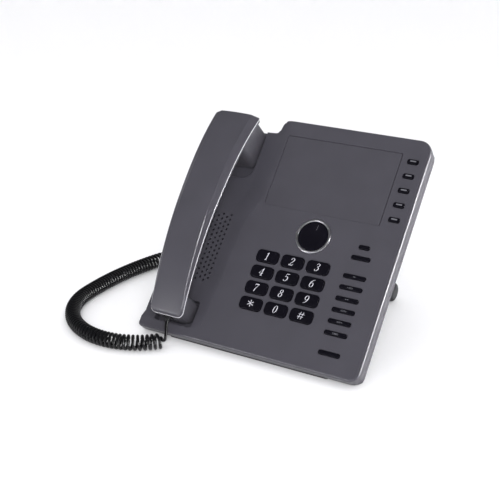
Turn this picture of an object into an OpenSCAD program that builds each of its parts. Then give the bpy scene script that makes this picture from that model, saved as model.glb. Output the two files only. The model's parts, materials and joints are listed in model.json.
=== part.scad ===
// Desk IP phone: tilted slab on a folding stand, corded handset in a cradle on its left side.
// Row frame: +X to the user's right, +Y away from the user, +Z up from the desk.
// Face frame, inside on_face(): x across, v up the face from its bottom edge, w out of the face.

/* [Body] */
// Angle of the face above the desk, degrees
tilt = 46; // [44:0.5:48]
// Width of the body
body_w = 220; // [218:1:230]
// Height of the body, measured up the face
body_v = 229.5; // [228:0.5:234]
// Thickness of the slab
slab_t = 16; // [15.5:0.5:17]
// Depth of the front housing, from the face to the seam
seam_w = 11; // [11:0.1:11.5]
// Wall thickness of the housings
wall = 2.4; // [2.2:0.1:2.6]
// Height of the front foot strip
foot_h = 1.5; // [1:0.1:2]
// Reach of the stand's feet behind the front foot
stand_reach = 164.6; // [160:1:170]

/* [Keys] */
// Across and up the face: size of a dial key
dial_key = [21.8, 11.8]; // [10:0.1:22]
// Across and up the face: spacing of the dial keys
dial_pitch = [25, 15.4]; // [15:0.1:26]
// How far a key travels
key_travel = 1.2; // [0.8:0.1:1.2]
// How far a dial key stands above the face
key_proud = 1.5; // [1.3:0.1:2]

/* [Handset] */
// Across the face: the handset's centre line
handset_x = -76.3; // [-76.8:0.1:-75.8]
// Height of the handset's parting edge at its crown
crown_w = 34.8; // [34:0.2:36]
// Depth of the two pockets of the cradle
pocket_w = 8.6; // [8.4:0.1:8.6]

/* [Cord] */
// Outer radius of the coiled cord
coil_r = 7.4; // [6.8:0.1:7.4]
// Radius of the cord's wire
wire_r = 1.3; // [1.2:0.05:1.5]

/* [Hidden] */
$fn = 48;

// Place of the face frame: the slab's lower back edge is cut flat, and the foot strip lies on the flat
flat_h = (slab_t - seam_w) * cos(tilt);
face_y = flat_h * (tan(tilt) - 1 / tan(tilt)) / 2 - slab_t * sin(tilt);
face_z = slab_t * cos(tilt) - flat_h + foot_h;
// Outline of the body: the handset's side is shorter than the panel beside it
side_x = body_w / 2;
notch_x = -42.5;
notch_v = body_v - 14;
// Front plate of the panel, and the sunk valley that the handset lies over
plate_t = 2.5;
valley_w = 3.4;
valley_ramp = 24;
valley_steps = 6;
valley_floor_w = valley_w + plate_t;
crease = [[-47, 9], [-45.5, 22], [-42, 118], [-40, 126], [-29.6, 149], [-29.6, notch_v + 20]];
gap = 0.3;
// Display
display = [-29.3, 140.7, 85.2, 213.6];
window_t = 1.4;
window_w = -0.5;
// Navigation dial
nav_pos = [28.6, 119.1];
nav_hole_r = 16.6;
nav_r = 14.2;
stem_r = 3;
// Keys: lowest key row and first column of the dial keys, then the two columns of narrow keys
dial_origin = [-7, 44.9];
line_key_x = 96.3;
line_key_v = [206.6, 192.2, 177.8, 163.4, 149.0];
line_key = [10, 4.5];
function_key_x = 78.3;
function_key_v = [118.3, 107.9, 89.9, 79.3, 68.6, 58.0, 47.4, 36.7, 18.6];
function_key_w = [10, 17.4, 21, 21, 21, 21, 21, 21, 19.7];
function_key_h = 3.8;
narrow_proud = 1;
flange = 0.9;
flange_top_w = -2.8;
flange_bottom_w = -3.9;
mat_top_w = flange_bottom_w - key_travel - 0.1;
mat_t = 1.3;
board_top_w = -6.8;
board_t = 1.6;
// Cradle
pocket_room = 0.9;
ear_half = 21.2;
ear_block_v = [176, 213.5];
mouth_half = 18;
mouth_block_v = [12.5, 34];
ear_pocket = [handset_x - ear_half - pocket_room, 163.6, handset_x + ear_half + pocket_room, notch_v + 4];
mouth_pocket = [handset_x - mouth_half - 1.5, mouth_block_v[0] - 3, handset_x + mouth_half + 1.5,
    mouth_block_v[1] + 1.5];
hook_pos = [handset_x, 182];
hook_r = 3;
// Loudspeaker and its grille
speaker_pos = [handset_x, 92];
speaker_r = 16.2;
grille_pitch = [4.4, 5];
grille_count = [9, 14];
grille_r = 1.15;
// Hump on the back
hump_x = 96;
hump_v = [24, 208];
hump_low_w = 28;
hump_high_w = 33;
// Bay for the network and power sockets, the channel that leads their cables down the back, and each socket's
// left edge, width and height
bay = [-40, 84, 40, 118];
cable_channel_x = [-32, 30];
bay_floor_w = -14.5;
sockets = [[-28, 16, 13.2], [-8, 16, 13.2], [16, 11, 12]];
jack_depth = 15;
mic_pos = [-27, 20];
// Stand
hinge_v = 165;
hinge_w = -40;
hinge_y = face_y + hinge_v * cos(tilt) - hinge_w * sin(tilt);
hinge_z = face_z + hinge_v * sin(tilt) + hinge_w * cos(tilt);
foot_r = 9.5;
stand_angle = atan2(stand_reach - hinge_y, hinge_z - foot_r);
stand_len = (hinge_z - foot_r) / cos(stand_angle);
stand_foot_x = 77;
knuckle_x = [56.5, 65.5];
ear_plate_x = [[52, 56], [66, 70]];
knuckle_r = 5;
pin_r = 2;
// Housing screws
screw_at = [[-102.6, 22], [-102.6, 148], [102.6, 22], [102.6, 218]];
// Handset: its two ends along v, the parting edge's crown, and how far the edge falls at each end
handset_v = [12.5, 216];
crown_v = 122;
ear_drop = 13;
ear_power = 2.45;
mouth_drop = 20.5;
narrow_half = 17;
wide_half = 23.5;
shell_t = 2;
cap_h = 4.6;
mouth_bevel = 1.6;
ear_bevel = 6.8;
bevel_v = [60, 170];
belly_h = 13;
belly_inset = 1;
belly_power = 1.1;
block_bottom_w = -8.2;
mouth_end_r = 5.5;
ear_end_r = 2.5;
stations = 20;
weight_v = [85, 125];
earpiece_v = 196;
microphone_v = 23;
handset_screw_v = weight_v + [-12, 12];
// Cord: arcs on the desk, each tangent to the next, from the handset's plug to the port on the back
cord_z = coil_r + 0.1;
loop_c = [-124.2, 21.9];
loop_r = 68.1;
loop_from = 319;
side_turn = 20.9;
side_r = 280;
side_c = [loop_c.x - loop_r + side_r, loop_c.y];
side_end = side_c + side_r * [cos(180 - side_turn), sin(180 - side_turn)];
port_x = -86;
back_r = (port_x - side_end.x) / (1 + cos(side_turn));
back_c = [port_x - back_r, side_end.y - back_r * sin(side_turn)];
coil_end = 95;
// The back end rises square to the face, after a bend
port_exit_w = 36;
port_bend_r = 25;
bend_top_z = cord_z + port_bend_r * (1 - sin(tilt));
port_v = (back_c.y - face_y - port_exit_w * sin(tilt) - port_bend_r * cos(tilt)
    - (face_z - port_exit_w * cos(tilt) - bend_top_z) * tan(tilt)) * cos(tilt);
// The front end leaves the handset's plug down the face and turns into the coil
plug_w = 8.6;
plug_end_v = handset_v[0] - 4;
plug_half = [3.9, 3.2];
plug_gap = 0.4;
plug_boot_r = 2.2;
plug_point = [handset_x, face_y + plug_end_v * cos(tilt) - plug_w * sin(tilt),
    face_z + plug_end_v * sin(tilt) + plug_w * cos(tilt)];
plug_run = [0, -cos(tilt), -sin(tilt)];
coil_point = [loop_c.x + loop_r * cos(loop_from), loop_c.y + loop_r * sin(loop_from), cord_z];
coil_run = [sin(loop_from), -cos(loop_from), 0];
lead_pull = [14, 7];

// ---- helpers ----

// Children drawn in x, v, w
module on_face() translate([0, face_y, face_z]) rotate([tilt, 0, 0]) children();

function unit(a) = a / norm(a);

// Points of an outline whose corners [x, y, r] are rounded to radius r
function rounded(corners, steps = 4) = [
    for (i = [0 : len(corners) - 1])
        let (
            n = len(corners),
            p = [corners[i][0], corners[i][1]],
            r = corners[i][2],
            before = corners[(i + n - 1) % n],
            after = corners[(i + 1) % n],
            ua = unit([before[0], before[1]] - p),
            ub = unit([after[0], after[1]] - p),
            half = acos(ua * ub) / 2,
            c = p + unit(ua + ub) * r / sin(half),
            a0 = atan2((p + ua * r / tan(half) - c)[1], (p + ua * r / tan(half) - c)[0]),
            a1 = atan2((p + ub * r / tan(half) - c)[1], (p + ub * r / tan(half) - c)[0]),
            sweep = (a1 - a0 + 540) % 360 - 180
        )
        for (k = [0 : steps]) c + r * [cos(a0 + sweep * k / steps), sin(a0 + sweep * k / steps)]
];

// Corners of a box [x0, y0, x1, y1], all of one radius
function box_corners(b, r) = [[b[0], b[1], r], [b[2], b[1], r], [b[2], b[3], r], [b[0], b[3], r]];

// Prism of an outline between two heights
module prism(points, w0, w1) translate([0, 0, w0]) linear_extrude(w1 - w0) polygon(points);

// Rounded box on [x0, y0, x1, y1] between two heights
module plate(b, r, w0, w1) prism(rounded(box_corners(b, r)), w0, w1);

// Box between two opposite corners
module block(a, b) translate(a) cube(b - a);

// Outline drawn in v, w, extruded across the face
module across(x0, x1) translate([x0, 0, 0]) rotate([90, 0, 90]) linear_extrude(x1 - x0) children();

// Box b grown by d on every side
function grown(b, d) = [b[0] - d, b[1] - d, b[2] + d, b[3] + d];

// Box of a size about a centre
function centred(at, size) = [at.x - size.x / 2, at.y - size.y / 2, at.x + size.x / 2, at.y + size.y / 2];

// Solid through a list of rings, each a list of points of one count
module loft(rings) {
    m = len(rings[0]);
    n = len(rings);
    sides = [for (i = [0 : n - 2]) for (j = [0 : m - 1])
        let (a = i * m + j, b = i * m + (j + 1) % m)
        for (t = [0, 1]) t == 0 ? [a, b + m, b] : [a, a + m, b + m]];
    first = [for (j = [0 : m - 1]) j];
    last = [for (j = [0 : m - 1]) n * m - 1 - j];
    polyhedron(points = [for (ring = rings) for (p = ring) p], faces = concat(sides, [first, last]));
}

// ---- body ----

// Outline of the body, drawn in by d, with its bottom edge drawn in by a further b
function body_outline(d, b = 0) = rounded([
    [-side_x + d, d + b, max(3.5 - d, 0.8)],
    [side_x - d, d + b, 9 - d],
    [side_x - d, body_v - d, 13 - d],
    [notch_x + 4.5 + d, body_v - d, max(5 - d, 1)],
    [notch_x + d, notch_v - d, 2],
    [-side_x + d, notch_v - d, 6 - d]]);

// The valley's outline, drawn in by d from the crease
function valley_outline(d) = concat([for (p = crease) [p[0] - d, p[1]]],
    [[-side_x - 1, notch_v + 20], [-side_x - 1, crease[0][1]]]);

// The ear pocket, wide corners towards the handle and tight ones at its upper end, grown by d
function ear_pocket_outline(d) = let (b = grown(ear_pocket, d)) rounded([
    [b[0], b[1], 10 + d], [b[2], b[1], 10 + d], [b[2], b[3], 3 + d], [b[0], b[3], 3 + d]]);

// Dial, line and function keys as boxes on the face
function dial_box(col, row) = centred([dial_origin.x + col * dial_pitch.x,
    dial_origin.y + (3 - row) * dial_pitch.y], dial_key);
function line_box(i) = centred([line_key_x, line_key_v[i]], line_key);
function function_box(i) = centred([function_key_x, function_key_v[i]], [function_key_w[i], function_key_h]);

// One grille hole at column i and row j; odd columns sit half a pitch lower
module grille_hole(i, j) {
    x = speaker_pos.x + (i - (grille_count.x - 1) / 2) * grille_pitch.x;
    v = speaker_pos.y + (j - (grille_count.y - 1) / 2) * grille_pitch.y - (i % 2) * grille_pitch.y / 2;
    translate([x, v, -valley_floor_w - 1]) cylinder(r = grille_r, h = valley_floor_w + 2, $fn = 6);
}

module key_openings() {
    for (col = [0 : 2]) for (row = [0 : 3]) plate(grown(dial_box(col, row), gap), 4, -9, 1);
    for (i = [0 : 4]) plate(grown(line_box(i), gap), 1.6, -9, 1);
    for (i = [0 : 8]) plate(grown(function_box(i), gap), 1.8, -9, 1);
}

module front_housing() color([0.32, 0.31, 0.35]) on_face() difference() {
    union() {
        difference() {
            prism(body_outline(0), -seam_w, 0);
            difference() {
                prism(body_outline(wall), -seam_w - 1, -plate_t);
                prism(valley_outline(-2), -valley_floor_w, 0);
                prism(ear_pocket_outline(wall), -seam_w, 0);
                plate(grown(mouth_pocket, wall), 4, -seam_w, 0);
            }
        }
        for (p = screw_at) translate([p.x, p.y, -seam_w]) cylinder(r = 3.6, h = seam_w - plate_t);
    }
    for (k = [1 : valley_steps])
        prism(valley_outline((k - 1) * valley_ramp / valley_steps), -valley_w * k / valley_steps, 1);
    prism(ear_pocket_outline(0), -pocket_w, 1);
    plate(mouth_pocket, 3, -pocket_w, 1);
    plate(display, 1.5, window_w - window_t - 0.05, 1);
    plate(grown(display, -5), 1, -9, 1);
    translate([nav_pos.x, nav_pos.y, -9]) cylinder(r = nav_hole_r, h = 10);
    translate([hook_pos.x, hook_pos.y, -seam_w - 1]) cylinder(r = hook_r + 0.2, h = seam_w);
    for (i = [0 : grille_count.x - 1]) for (j = [0 : grille_count.y - 1]) grille_hole(i, j);
    for (p = screw_at) translate([p.x, p.y, -seam_w - 1]) cylinder(r = 1.5, h = 4.6);
    key_openings();
}

// Side outline of the hump in v, w, drawn in by d
function hump_side(d) = [[hump_v[0] + d, -slab_t + 1], [hump_v[0] + 10 + d * 0.5, -hump_low_w + d],
    [150, -hump_high_w + d], [hump_v[1] - 12 - d * 0.5, -hump_high_w + d],
    [hump_v[1] - d, -slab_t - 4], [hump_v[1] - d, -slab_t + 1]];

// Ears that hold the stand's pins
module hinge_ears() for (side = [-1, 1]) for (e = ear_plate_x) {
    x = side > 0 ? e[0] : -e[1];
    translate([x, hinge_v, hinge_w]) rotate([0, 90, 0]) cylinder(r = knuckle_r, h = e[1] - e[0]);
    block([x, hinge_v - knuckle_r, hinge_w], [x + e[1] - e[0], hinge_v + knuckle_r, -hump_high_w + 1]);
}

module rear_housing() color([0.28, 0.27, 0.31]) difference() {
    on_face() difference() {
        union() {
            difference() {
                union() {
                    prism(body_outline(0), -slab_t, -seam_w - 0.1);
                    across(-hump_x, hump_x) polygon(hump_side(0));
                }
                prism(body_outline(wall, 5), -slab_t + 2.3, -seam_w + 1);
                across(-hump_x + wall, hump_x - wall) polygon(concat(hump_side(wall),
                    [[hump_v[1] - wall, -seam_w], [hump_v[0] + wall, -seam_w]]));
            }
            for (p = screw_at) translate([p.x, p.y, -slab_t]) cylinder(r = 4, h = slab_t - seam_w - 0.1);
            intersection() {
                across(-hump_x, hump_x) polygon(hump_side(0));
                union() {
                    block([bay[0] - wall, bay[1] - wall, -60], [bay[2] + wall, bay[3] + wall, 0]);
                    block([cable_channel_x[0] - wall, 0, -60], [cable_channel_x[1] + wall, bay[1], 0]);
                }
            }
            block([bay[0] - wall, bay[1] - wall, -slab_t],
                [bay[2] + wall, bay[3] + wall, bay_floor_w + wall]);
            block([cable_channel_x[0], hump_v[0], -slab_t], [cable_channel_x[1], bay[1], -slab_t + wall]);
            hinge_ears();
        }
        block([bay[0], bay[1], -60], [bay[2], bay[3], bay_floor_w]);
        block([cable_channel_x[0], 0, -60], [cable_channel_x[1], bay[1] + 1, -slab_t]);
        for (k = sockets)
            block([k[0], bay[3] - 1, bay_floor_w - k[2] - 0.6],
                [k[0] + k[1], bay[3] + wall + 1, bay_floor_w]);
        block([port_x - 5, port_v - 4.5, -40], [port_x + 5, port_v + 4.5, -20]);
        for (side = [-1, 1]) for (e = ear_plate_x)
            translate([side > 0 ? e[0] - 1 : -e[1] - 1, hinge_v, hinge_w]) rotate([0, 90, 0])
                cylinder(r = pin_r + 0.02, h = e[1] - e[0] + 2);
        for (p = screw_at) translate([p.x, p.y, -slab_t - 1]) cylinder(r = 3.1, h = 2.8);
        for (p = screw_at) translate([p.x, p.y, -slab_t - 1]) cylinder(r = 1.6, h = 8);
    }
    block([-side_x - 1, -20, -20], [side_x + 1, 30, foot_h]);
}

module display_window() color([0.3, 0.3, 0.33]) on_face()
    plate(grown(display, -0.15), 1.4, window_w - window_t, window_w);

module lcd_panel() color([0.12, 0.13, 0.15]) on_face()
    plate(grown(display, -5.2), 0.8, -5.6, window_w - window_t - 0.1);

module main_board() color([0.1, 0.35, 0.2]) on_face() difference() {
    plate([-34, 9, 98, 218], 2, board_top_w - board_t, board_top_w);
    translate([nav_pos.x, nav_pos.y, board_top_w - board_t - 1]) cylinder(r = stem_r + 0.5, h = board_t + 2);
}

module keypad_mat() color([0.75, 0.75, 0.78]) on_face() {
    difference() {
        plate([-20, 12, 92, 124], 3, mat_top_w - mat_t, mat_top_w);
        translate([nav_pos.x, nav_pos.y, -9]) cylinder(r = 19.5, h = 9);
    }
    plate([90, 144, 103, 212], 2, mat_top_w - mat_t, mat_top_w);
}

module loudspeaker() color([0.2, 0.2, 0.2]) on_face() translate([speaker_pos.x, speaker_pos.y, 0]) {
    translate([0, 0, -10.7]) cylinder(r = speaker_r, h = 4);
    translate([0, 0, -18]) cylinder(r = 9, h = 7.3);
}

module base_microphone() color([0.15, 0.15, 0.15]) on_face()
    translate([mic_pos.x, mic_pos.y, board_top_w + 0.05]) cylinder(r = 3, h = 3);

// Body of socket k, its top side on the bay's floor level and its mouth facing down the face
module socket_body(k, depth) block([k[0] + 0.2, bay[3] + 0.2, bay_floor_w - 0.3 - k[2]],
    [k[0] + k[1] - 0.2, bay[3] + depth, bay_floor_w - 0.3]);

// Children drawn about the middle of the mouth of socket k, extruded into it
module socket_mouth(k) translate([k[0] + k[1] / 2, bay[3] + 0.1, bay_floor_w - 0.3 - k[2] / 2])
    rotate([-90, 0, 0]) children();

module ethernet_jacks() color([0.55, 0.56, 0.58]) on_face() for (i = [0, 1]) difference() {
    socket_body(sockets[i], jack_depth);
    socket_mouth(sockets[i]) linear_extrude(jack_depth - 3) square([11.8, 7.2], center = true);
}

module power_jack() color([0.1, 0.1, 0.1]) on_face() difference() {
    socket_body(sockets[2], jack_depth - 2);
    socket_mouth(sockets[2]) cylinder(r = 2.75, h = 9);
}

module handset_port() color([0.1, 0.1, 0.1]) on_face() difference() {
    block([port_x - 6.5, port_v - 6, -25.4], [port_x + 6.5, port_v + 6, -13]);
    block([port_x - 4, port_v - 3.4, -26], [port_x + 4, port_v + 3.4, -16]);
}

module housing_screws() color([0.6, 0.6, 0.62]) on_face() for (p = screw_at) translate([p.x, p.y, 0]) {
    translate([0, 0, -slab_t + 0.3]) cylinder(r = 2.9, h = 1.4);
    translate([0, 0, -slab_t + 1.7]) cylinder(r = 1.4, h = 6.2);
}

module front_foot() color([0.08, 0.08, 0.08]) plate([-80, -2.75, 80, 2.75], 2.5, 0, foot_h);

// ---- stand ----

module stand_pins() color([0.7, 0.7, 0.72]) on_face() for (x = [-70, 52])
    translate([x, hinge_v, hinge_w]) rotate([0, 90, 0]) cylinder(r = pin_r, h = 18);

// Children drawn about the hinge, with the foot bar down the -z side
module on_stand() translate([0, hinge_y, hinge_z]) rotate([stand_angle, 0, 0]) children();

module stand_frame() color([0.27, 0.26, 0.3]) on_stand() difference() {
    union() {
        for (side = [-1, 1]) {
            x = side > 0 ? knuckle_x[0] : -knuckle_x[1];
            translate([x, 0, 0]) rotate([0, 90, 0]) cylinder(r = knuckle_r, h = 9);
            block([x, -3, -stand_len], [x + 9, 3, 0]);
        }
        block([-57, -1.5, -stand_len], [57, 1.5, -stand_len + 44]);
        block([-57, -1.5, -26], [57, 1.5, -14]);
        translate([-66, 0, -stand_len]) rotate([0, 90, 0]) cylinder(r = 7.5, h = 132);
        translate([-73, 0, -stand_len]) rotate([0, 90, 0]) cylinder(r = 5, h = 146);
    }
    translate([-80, 0, 0]) rotate([0, 90, 0]) cylinder(r = pin_r + 0.06, h = 160);
    translate([0, 2, 0]) rotate([90, 0, 0])
        plate([-30, -stand_len + 14, 30, -stand_len + 32], 6, 0, 4);
}

// Rubber cap over one end of the foot bar, its rounded end towards +x
module stand_cap() rotate([0, 90, 0]) rotate_extrude() polygon(concat(
    [[0, 7.2], [5.05, 7.2], [5.05, 0], [foot_r, 0]],
    [for (a = [0 : 10 : 90]) [foot_r - 4 + 4 * cos(a), 6.9 + 4 * sin(a)]], [[0, 10.9]]));

module stand_feet() color([0.07, 0.07, 0.08]) on_stand() translate([0, 0, -stand_len]) for (side = [0, 1])
    mirror([side, 0, 0]) translate([stand_foot_x - 10.9, 0, 0]) stand_cap();

// ---- handset ----

// Height of the parting edge at v
function rim_w(v) = v > crown_v
    ? crown_w - ear_drop * pow((v - crown_v) / (handset_v[1] - crown_v), ear_power)
    : crown_w - mouth_drop * pow((crown_v - v) / (crown_v - handset_v[0]), 2);
// Eased step from 0 to 1
function ease(t) = let (s = min(max(t, 0), 1)) s * s * (3 - 2 * s);
// Distance that a rounded end of radius r takes off the half width, at d from the end
function end_cut(d, r) = d < r ? r - sqrt(max(r * r - (r - d) * (r - d), 0)) : 0;
// Half the handset's width at v, drawn in by d
function half_w(v, d) = narrow_half - d
    + (wide_half - narrow_half) * (v - handset_v[0]) / (handset_v[1] - handset_v[0])
    - end_cut(v - handset_v[0] - d, mouth_end_r - d) - end_cut(handset_v[1] - v - d, ear_end_r - d);
// Places of the rings, drawn in by d at both ends and close together at the rounded corners
function station_v(d) = let (
    a = handset_v[0] + d, b = handset_v[1] - d, ra = mouth_end_r - d, rb = ear_end_r - d
) concat(
    [for (k = [1, 3, 6]) a + ra * (1 - cos(k * 15))],
    [for (k = [1 : stations - 1]) a + ra + (b - a - ra - rb) * k / stations],
    [for (k = [6, 3, 1]) b - rb * (1 - cos(k * 15))]);
// Ring of a section at v, from points [x, w]
function ring(v, points) = [for (p = points) [handset_x + p[0], v, p[1]]];

// Section above the parting edge, drawn in by d: bevelled sides and a lightly crowned top
function cap_section(v, d) = let (
    h = half_w(v, d), r = rim_w(v) - (d > 0 ? 1 : 0),
    bevel = mouth_bevel + (ear_bevel - mouth_bevel) * ease((v - bevel_v[0]) / (bevel_v[1] - bevel_v[0])),
    top = rim_w(v) + cap_h - d
) [[-h, r], [-h + 0.4, rim_w(v) + 1], [-h + bevel, top - 1], [-h + bevel + 3, top], [0, top + 0.8],
    [h - bevel - 3, top], [h - bevel, top - 1], [h - 0.4, rim_w(v) + 1], [h, r]];

// Section of the handle's belly below the parting edge, drawn in by d
function belly_section(v, d) = let (h = half_w(v, d) - belly_inset, r = rim_w(v) - 0.1, top = d > 0 ? 1 : 0)
    concat([[h, r + top]], [for (a = [0 : 20 : 180])
        [h * sign(cos(a)) * pow(abs(cos(a)), belly_power), r - (belly_h - d) * pow(sin(a), 0.7)]],
        [[-h, r + top]]);

// Section of all the space below the parting edge, down past the blocks, drawn in by d
function under_section(v, d) = let (h = half_w(v, d) - belly_inset, r = rim_w(v) - 0.1 + (d > 0 ? 1 : 0))
    [[-h, r], [h, r], [h, block_bottom_w - 5], [-h, block_bottom_w - 5]];

// Outlines of the earpiece block and the mouthpiece block, drawn in by d
function ear_block(d) = block_outline(ear_half - d, ear_block_v + [d, -d], 6 - d, 4 - d);
function mouth_block(d) = block_outline(mouth_half - d, mouth_block_v + [d, -d], 4 - d, 8 - d);
function block_outline(h, ends, r0, r1) = rounded([[handset_x - h, ends[0], r0], [handset_x + h, ends[0], r0],
    [handset_x + h, ends[1], r1], [handset_x - h, ends[1], r1]]);

module under_blocks(d) intersection() {
    loft([for (v = station_v(d)) ring(v, under_section(v, d))]);
    union() {
        prism(ear_block(d), block_bottom_w + d, crown_w + 5);
        prism(mouth_block(d), block_bottom_w + d, crown_w + 5);
    }
}

module handset_shell() color([0.32, 0.31, 0.35]) on_face() difference() {
    union() {
        difference() {
            loft([for (v = station_v(0)) ring(v, cap_section(v, 0))]);
            loft([for (v = station_v(shell_t)) ring(v, cap_section(v, shell_t))]);
        }
        for (v = handset_screw_v) translate([handset_x, v, rim_w(v) - 8]) cylinder(r = 3.2, h = 11.5);
    }
    for (v = handset_screw_v) translate([handset_x, v, rim_w(v) - 9]) cylinder(r = 1.4, h = 6);
}

module handset_cover() color([0.26, 0.25, 0.29]) on_face() difference() {
    union() {
        loft([for (v = station_v(0)) ring(v, belly_section(v, 0))]);
        under_blocks(0);
    }
    loft([for (v = station_v(shell_t)) ring(v, belly_section(v, shell_t))]);
    under_blocks(shell_t);
    for (x = [-8 : 4 : 8]) for (v = [-8 : 4 : 8])
        translate([handset_x + x, earpiece_v + v, block_bottom_w - 1]) cylinder(r = 1, h = 4, $fn = 6);
    for (x = [-4 : 4 : 4])
        translate([handset_x + x, microphone_v, block_bottom_w - 1]) cylinder(r = 0.8, h = 4, $fn = 6);
    block([handset_x - plug_half.x - plug_gap, handset_v[0] - 4, plug_w - plug_half.y - plug_gap],
        [handset_x + plug_half.x + plug_gap, handset_v[0] + 3, plug_w + plug_half.y + plug_gap]);
    for (v = handset_screw_v) translate([handset_x, v, 10]) cylinder(r = 2.9, h = rim_w(v) - belly_h - 8.8);
    for (v = handset_screw_v) translate([handset_x, v, 10]) cylinder(r = 1.5, h = 20);
}

module earpiece_speaker() color([0.2, 0.2, 0.2]) on_face()
    translate([handset_x, earpiece_v, block_bottom_w + shell_t + 0.2]) cylinder(r = 15, h = 6);

module handset_microphone() color([0.2, 0.2, 0.2]) on_face()
    translate([handset_x, microphone_v, block_bottom_w + shell_t + 0.2]) cylinder(r = 4.8, h = 4);

module handset_weight() color([0.5, 0.5, 0.52]) on_face()
    block([handset_x - 9, weight_v[0], crown_w - 9], [handset_x + 9, weight_v[1], crown_w - 3]);

module handset_plug() color([0.08, 0.08, 0.08]) on_face() {
    block([handset_x - plug_half.x, handset_v[0] - 1, plug_w - plug_half.y],
        [handset_x + plug_half.x, handset_v[0] + 10, plug_w + plug_half.y]);
    translate([handset_x, plug_end_v, plug_w]) rotate([-90, 0, 0])
        cylinder(r = plug_boot_r, h = handset_v[0] - 1 - plug_end_v);
}

module handset_screws() color([0.6, 0.6, 0.62]) on_face() for (v = handset_screw_v)
    translate([handset_x, v]) {
        top = rim_w(v) - belly_h + 1.3;
        translate([0, 0, top - 1.5]) cylinder(r = 2.7, h = 1.4);
        translate([0, 0, top - 0.1]) cylinder(r = 1.3, h = 8);
    }

module hook_switch() color([0.1, 0.1, 0.1]) on_face() translate([hook_pos.x, hook_pos.y, 0]) {
    translate([0, 0, -16]) cylinder(r = hook_r, h = 16 - pocket_w + 0.3);
    translate([0, 0, -17]) cylinder(r = hook_r + 1.2, h = 1);
}

// ---- navigation dial ----

module nav_ring() color([0.75, 0.75, 0.78]) on_face() translate([nav_pos.x, nav_pos.y, 0]) difference() {
    union() {
        translate([0, 0, -3]) cylinder(r = nav_hole_r - 0.1, h = 4.2);
        translate([0, 0, -4]) cylinder(r = nav_hole_r + 1.8, h = 1.4);
    }
    translate([0, 0, -5]) cylinder(r = nav_r + 0.2, h = 7);
}

module nav_dial() color([0.05, 0.05, 0.08]) on_face() translate([nav_pos.x, nav_pos.y, 0]) {
    rotate_extrude($fn = 96) polygon(concat([[0, -3.4], [nav_r, -3.4], [nav_r, 0.3]],
        [for (k = [0 : 6]) [nav_r - 1 - (nav_r - 1) * k / 6, 0.7 - 1.5 * sin(90 * k / 6)]]));
    translate([0, 0, -6.4]) cylinder(r = stem_r, h = 4);
}

module nav_push_sleeve() color([0.8, 0.8, 0.75]) on_face() translate(concat(nav_pos, -5.8)) difference() {
    cylinder(r = 4.6, h = 1.6);
    translate([0, 0, -1]) cylinder(r = stem_r + 0.06, h = 4);
}

module nav_encoder() color([0.6, 0.6, 0.62]) on_face() translate(concat(nav_pos, board_top_w)) difference() {
    translate([-6.5, -6.5, 0.05]) cube([13, 13, 1.8]);
    translate([0, 0, -1]) cylinder(r = 4.8, h = 4);
}

// ---- keys ----

// Key cap on box b with its flange behind the plate
module key(b, r, proud) color([0.05, 0.05, 0.08]) on_face() {
    plate(b, r, flange_top_w, proud);
    plate(grown(b, flange), r + flange, flange_bottom_w, flange_top_w);
}

module dial_key_at(col, row) key(dial_box(col, row), 3.7, key_proud);
module line_key_at(i) key(line_box(i), 1.4, narrow_proud);
module function_key_at(i) key(function_box(i), 1.6, narrow_proud);

// ---- cord ----

// Points [x, y, z] of a level arc about c, from angle a0 to a1, with k / n of the way at point k
function level_arc(c, r, a0, a1, n) = [for (k = [0 : n]) let (a = a0 + (a1 - a0) * k / n)
    [c.x + r * cos(a), c.y + r * sin(a), cord_z]];
// Points of an upright bend of radius r at x, level at y, rising towards side * y through the angles
function upright_arc(x, y, side, r, angles) = [for (a = angles)
    [x, y + side * r * sin(a), cord_z + r * (1 - cos(a))]];

// Point at t of a smooth curve from p, running along a, to q, running along b
function smooth_run(p, a, q, b, t) = (2 * pow(t, 3) - 3 * t * t + 1) * p + (pow(t, 3) - 2 * t * t + t) * a
    + (3 * t * t - 2 * pow(t, 3)) * q + (pow(t, 3) - t * t) * b;

// Centre line of the wire from the handset's plug to the coil, of the coil, and of the wire to the port
lead_points = [for (k = [0 : 8]) smooth_run(plug_point + 0.2 * plug_run, lead_pull[0] * plug_run,
    coil_point, lead_pull[1] * coil_run, k / 8)];
coil_points = concat(level_arc(loop_c, loop_r, loop_from - 0.3, 180, 18),
    level_arc(side_c, side_r, 180 - side_turn / 6, 180 - side_turn, 5),
    level_arc(back_c, back_r, 170 - side_turn, coil_end, 5));
port_points = concat(level_arc(back_c, back_r, coil_end - 0.5, 0, 9),
    upright_arc(port_x, back_c.y, -1, port_bend_r, [for (k = [1 : 3]) (90 - tilt) * k / 3]),
    [[port_x, face_y + port_v * cos(tilt) + port_exit_w * sin(tilt),
        face_z + port_v * sin(tilt) - port_exit_w * cos(tilt)]]);
cord_points = concat(lead_points, coil_points, port_points);
cord_radii = concat([for (p = lead_points) wire_r], [for (p = coil_points) coil_r],
    [for (p = port_points) wire_r]);

// Ring of radius r about point i of the cord, square to its run
function cord_ring(i) = let (
    last = len(cord_points) - 1,
    run = unit(cord_points[min(i + 1, last)] - cord_points[max(i - 1, 0)]),
    side = unit(cross([0, 0, 1], run)),
    up = cross(run, side)
) [for (a = [0 : 30 : 330]) cord_points[i] + cord_radii[i] * (cos(a) * side + sin(a) * up)];

module coil_cord() color([0.04, 0.04, 0.05]) loft([for (i = [0 : len(cord_points) - 1]) cord_ring(i)]);

module base_plug() color([0.7, 0.7, 0.72]) on_face() {
    block([port_x - 3.8, port_v - 3.2, -32], [port_x + 3.8, port_v + 3.2, -17]);
    translate([port_x, port_v, -port_exit_w + 0.2]) cylinder(r = 2.6, h = 5);
}

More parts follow.
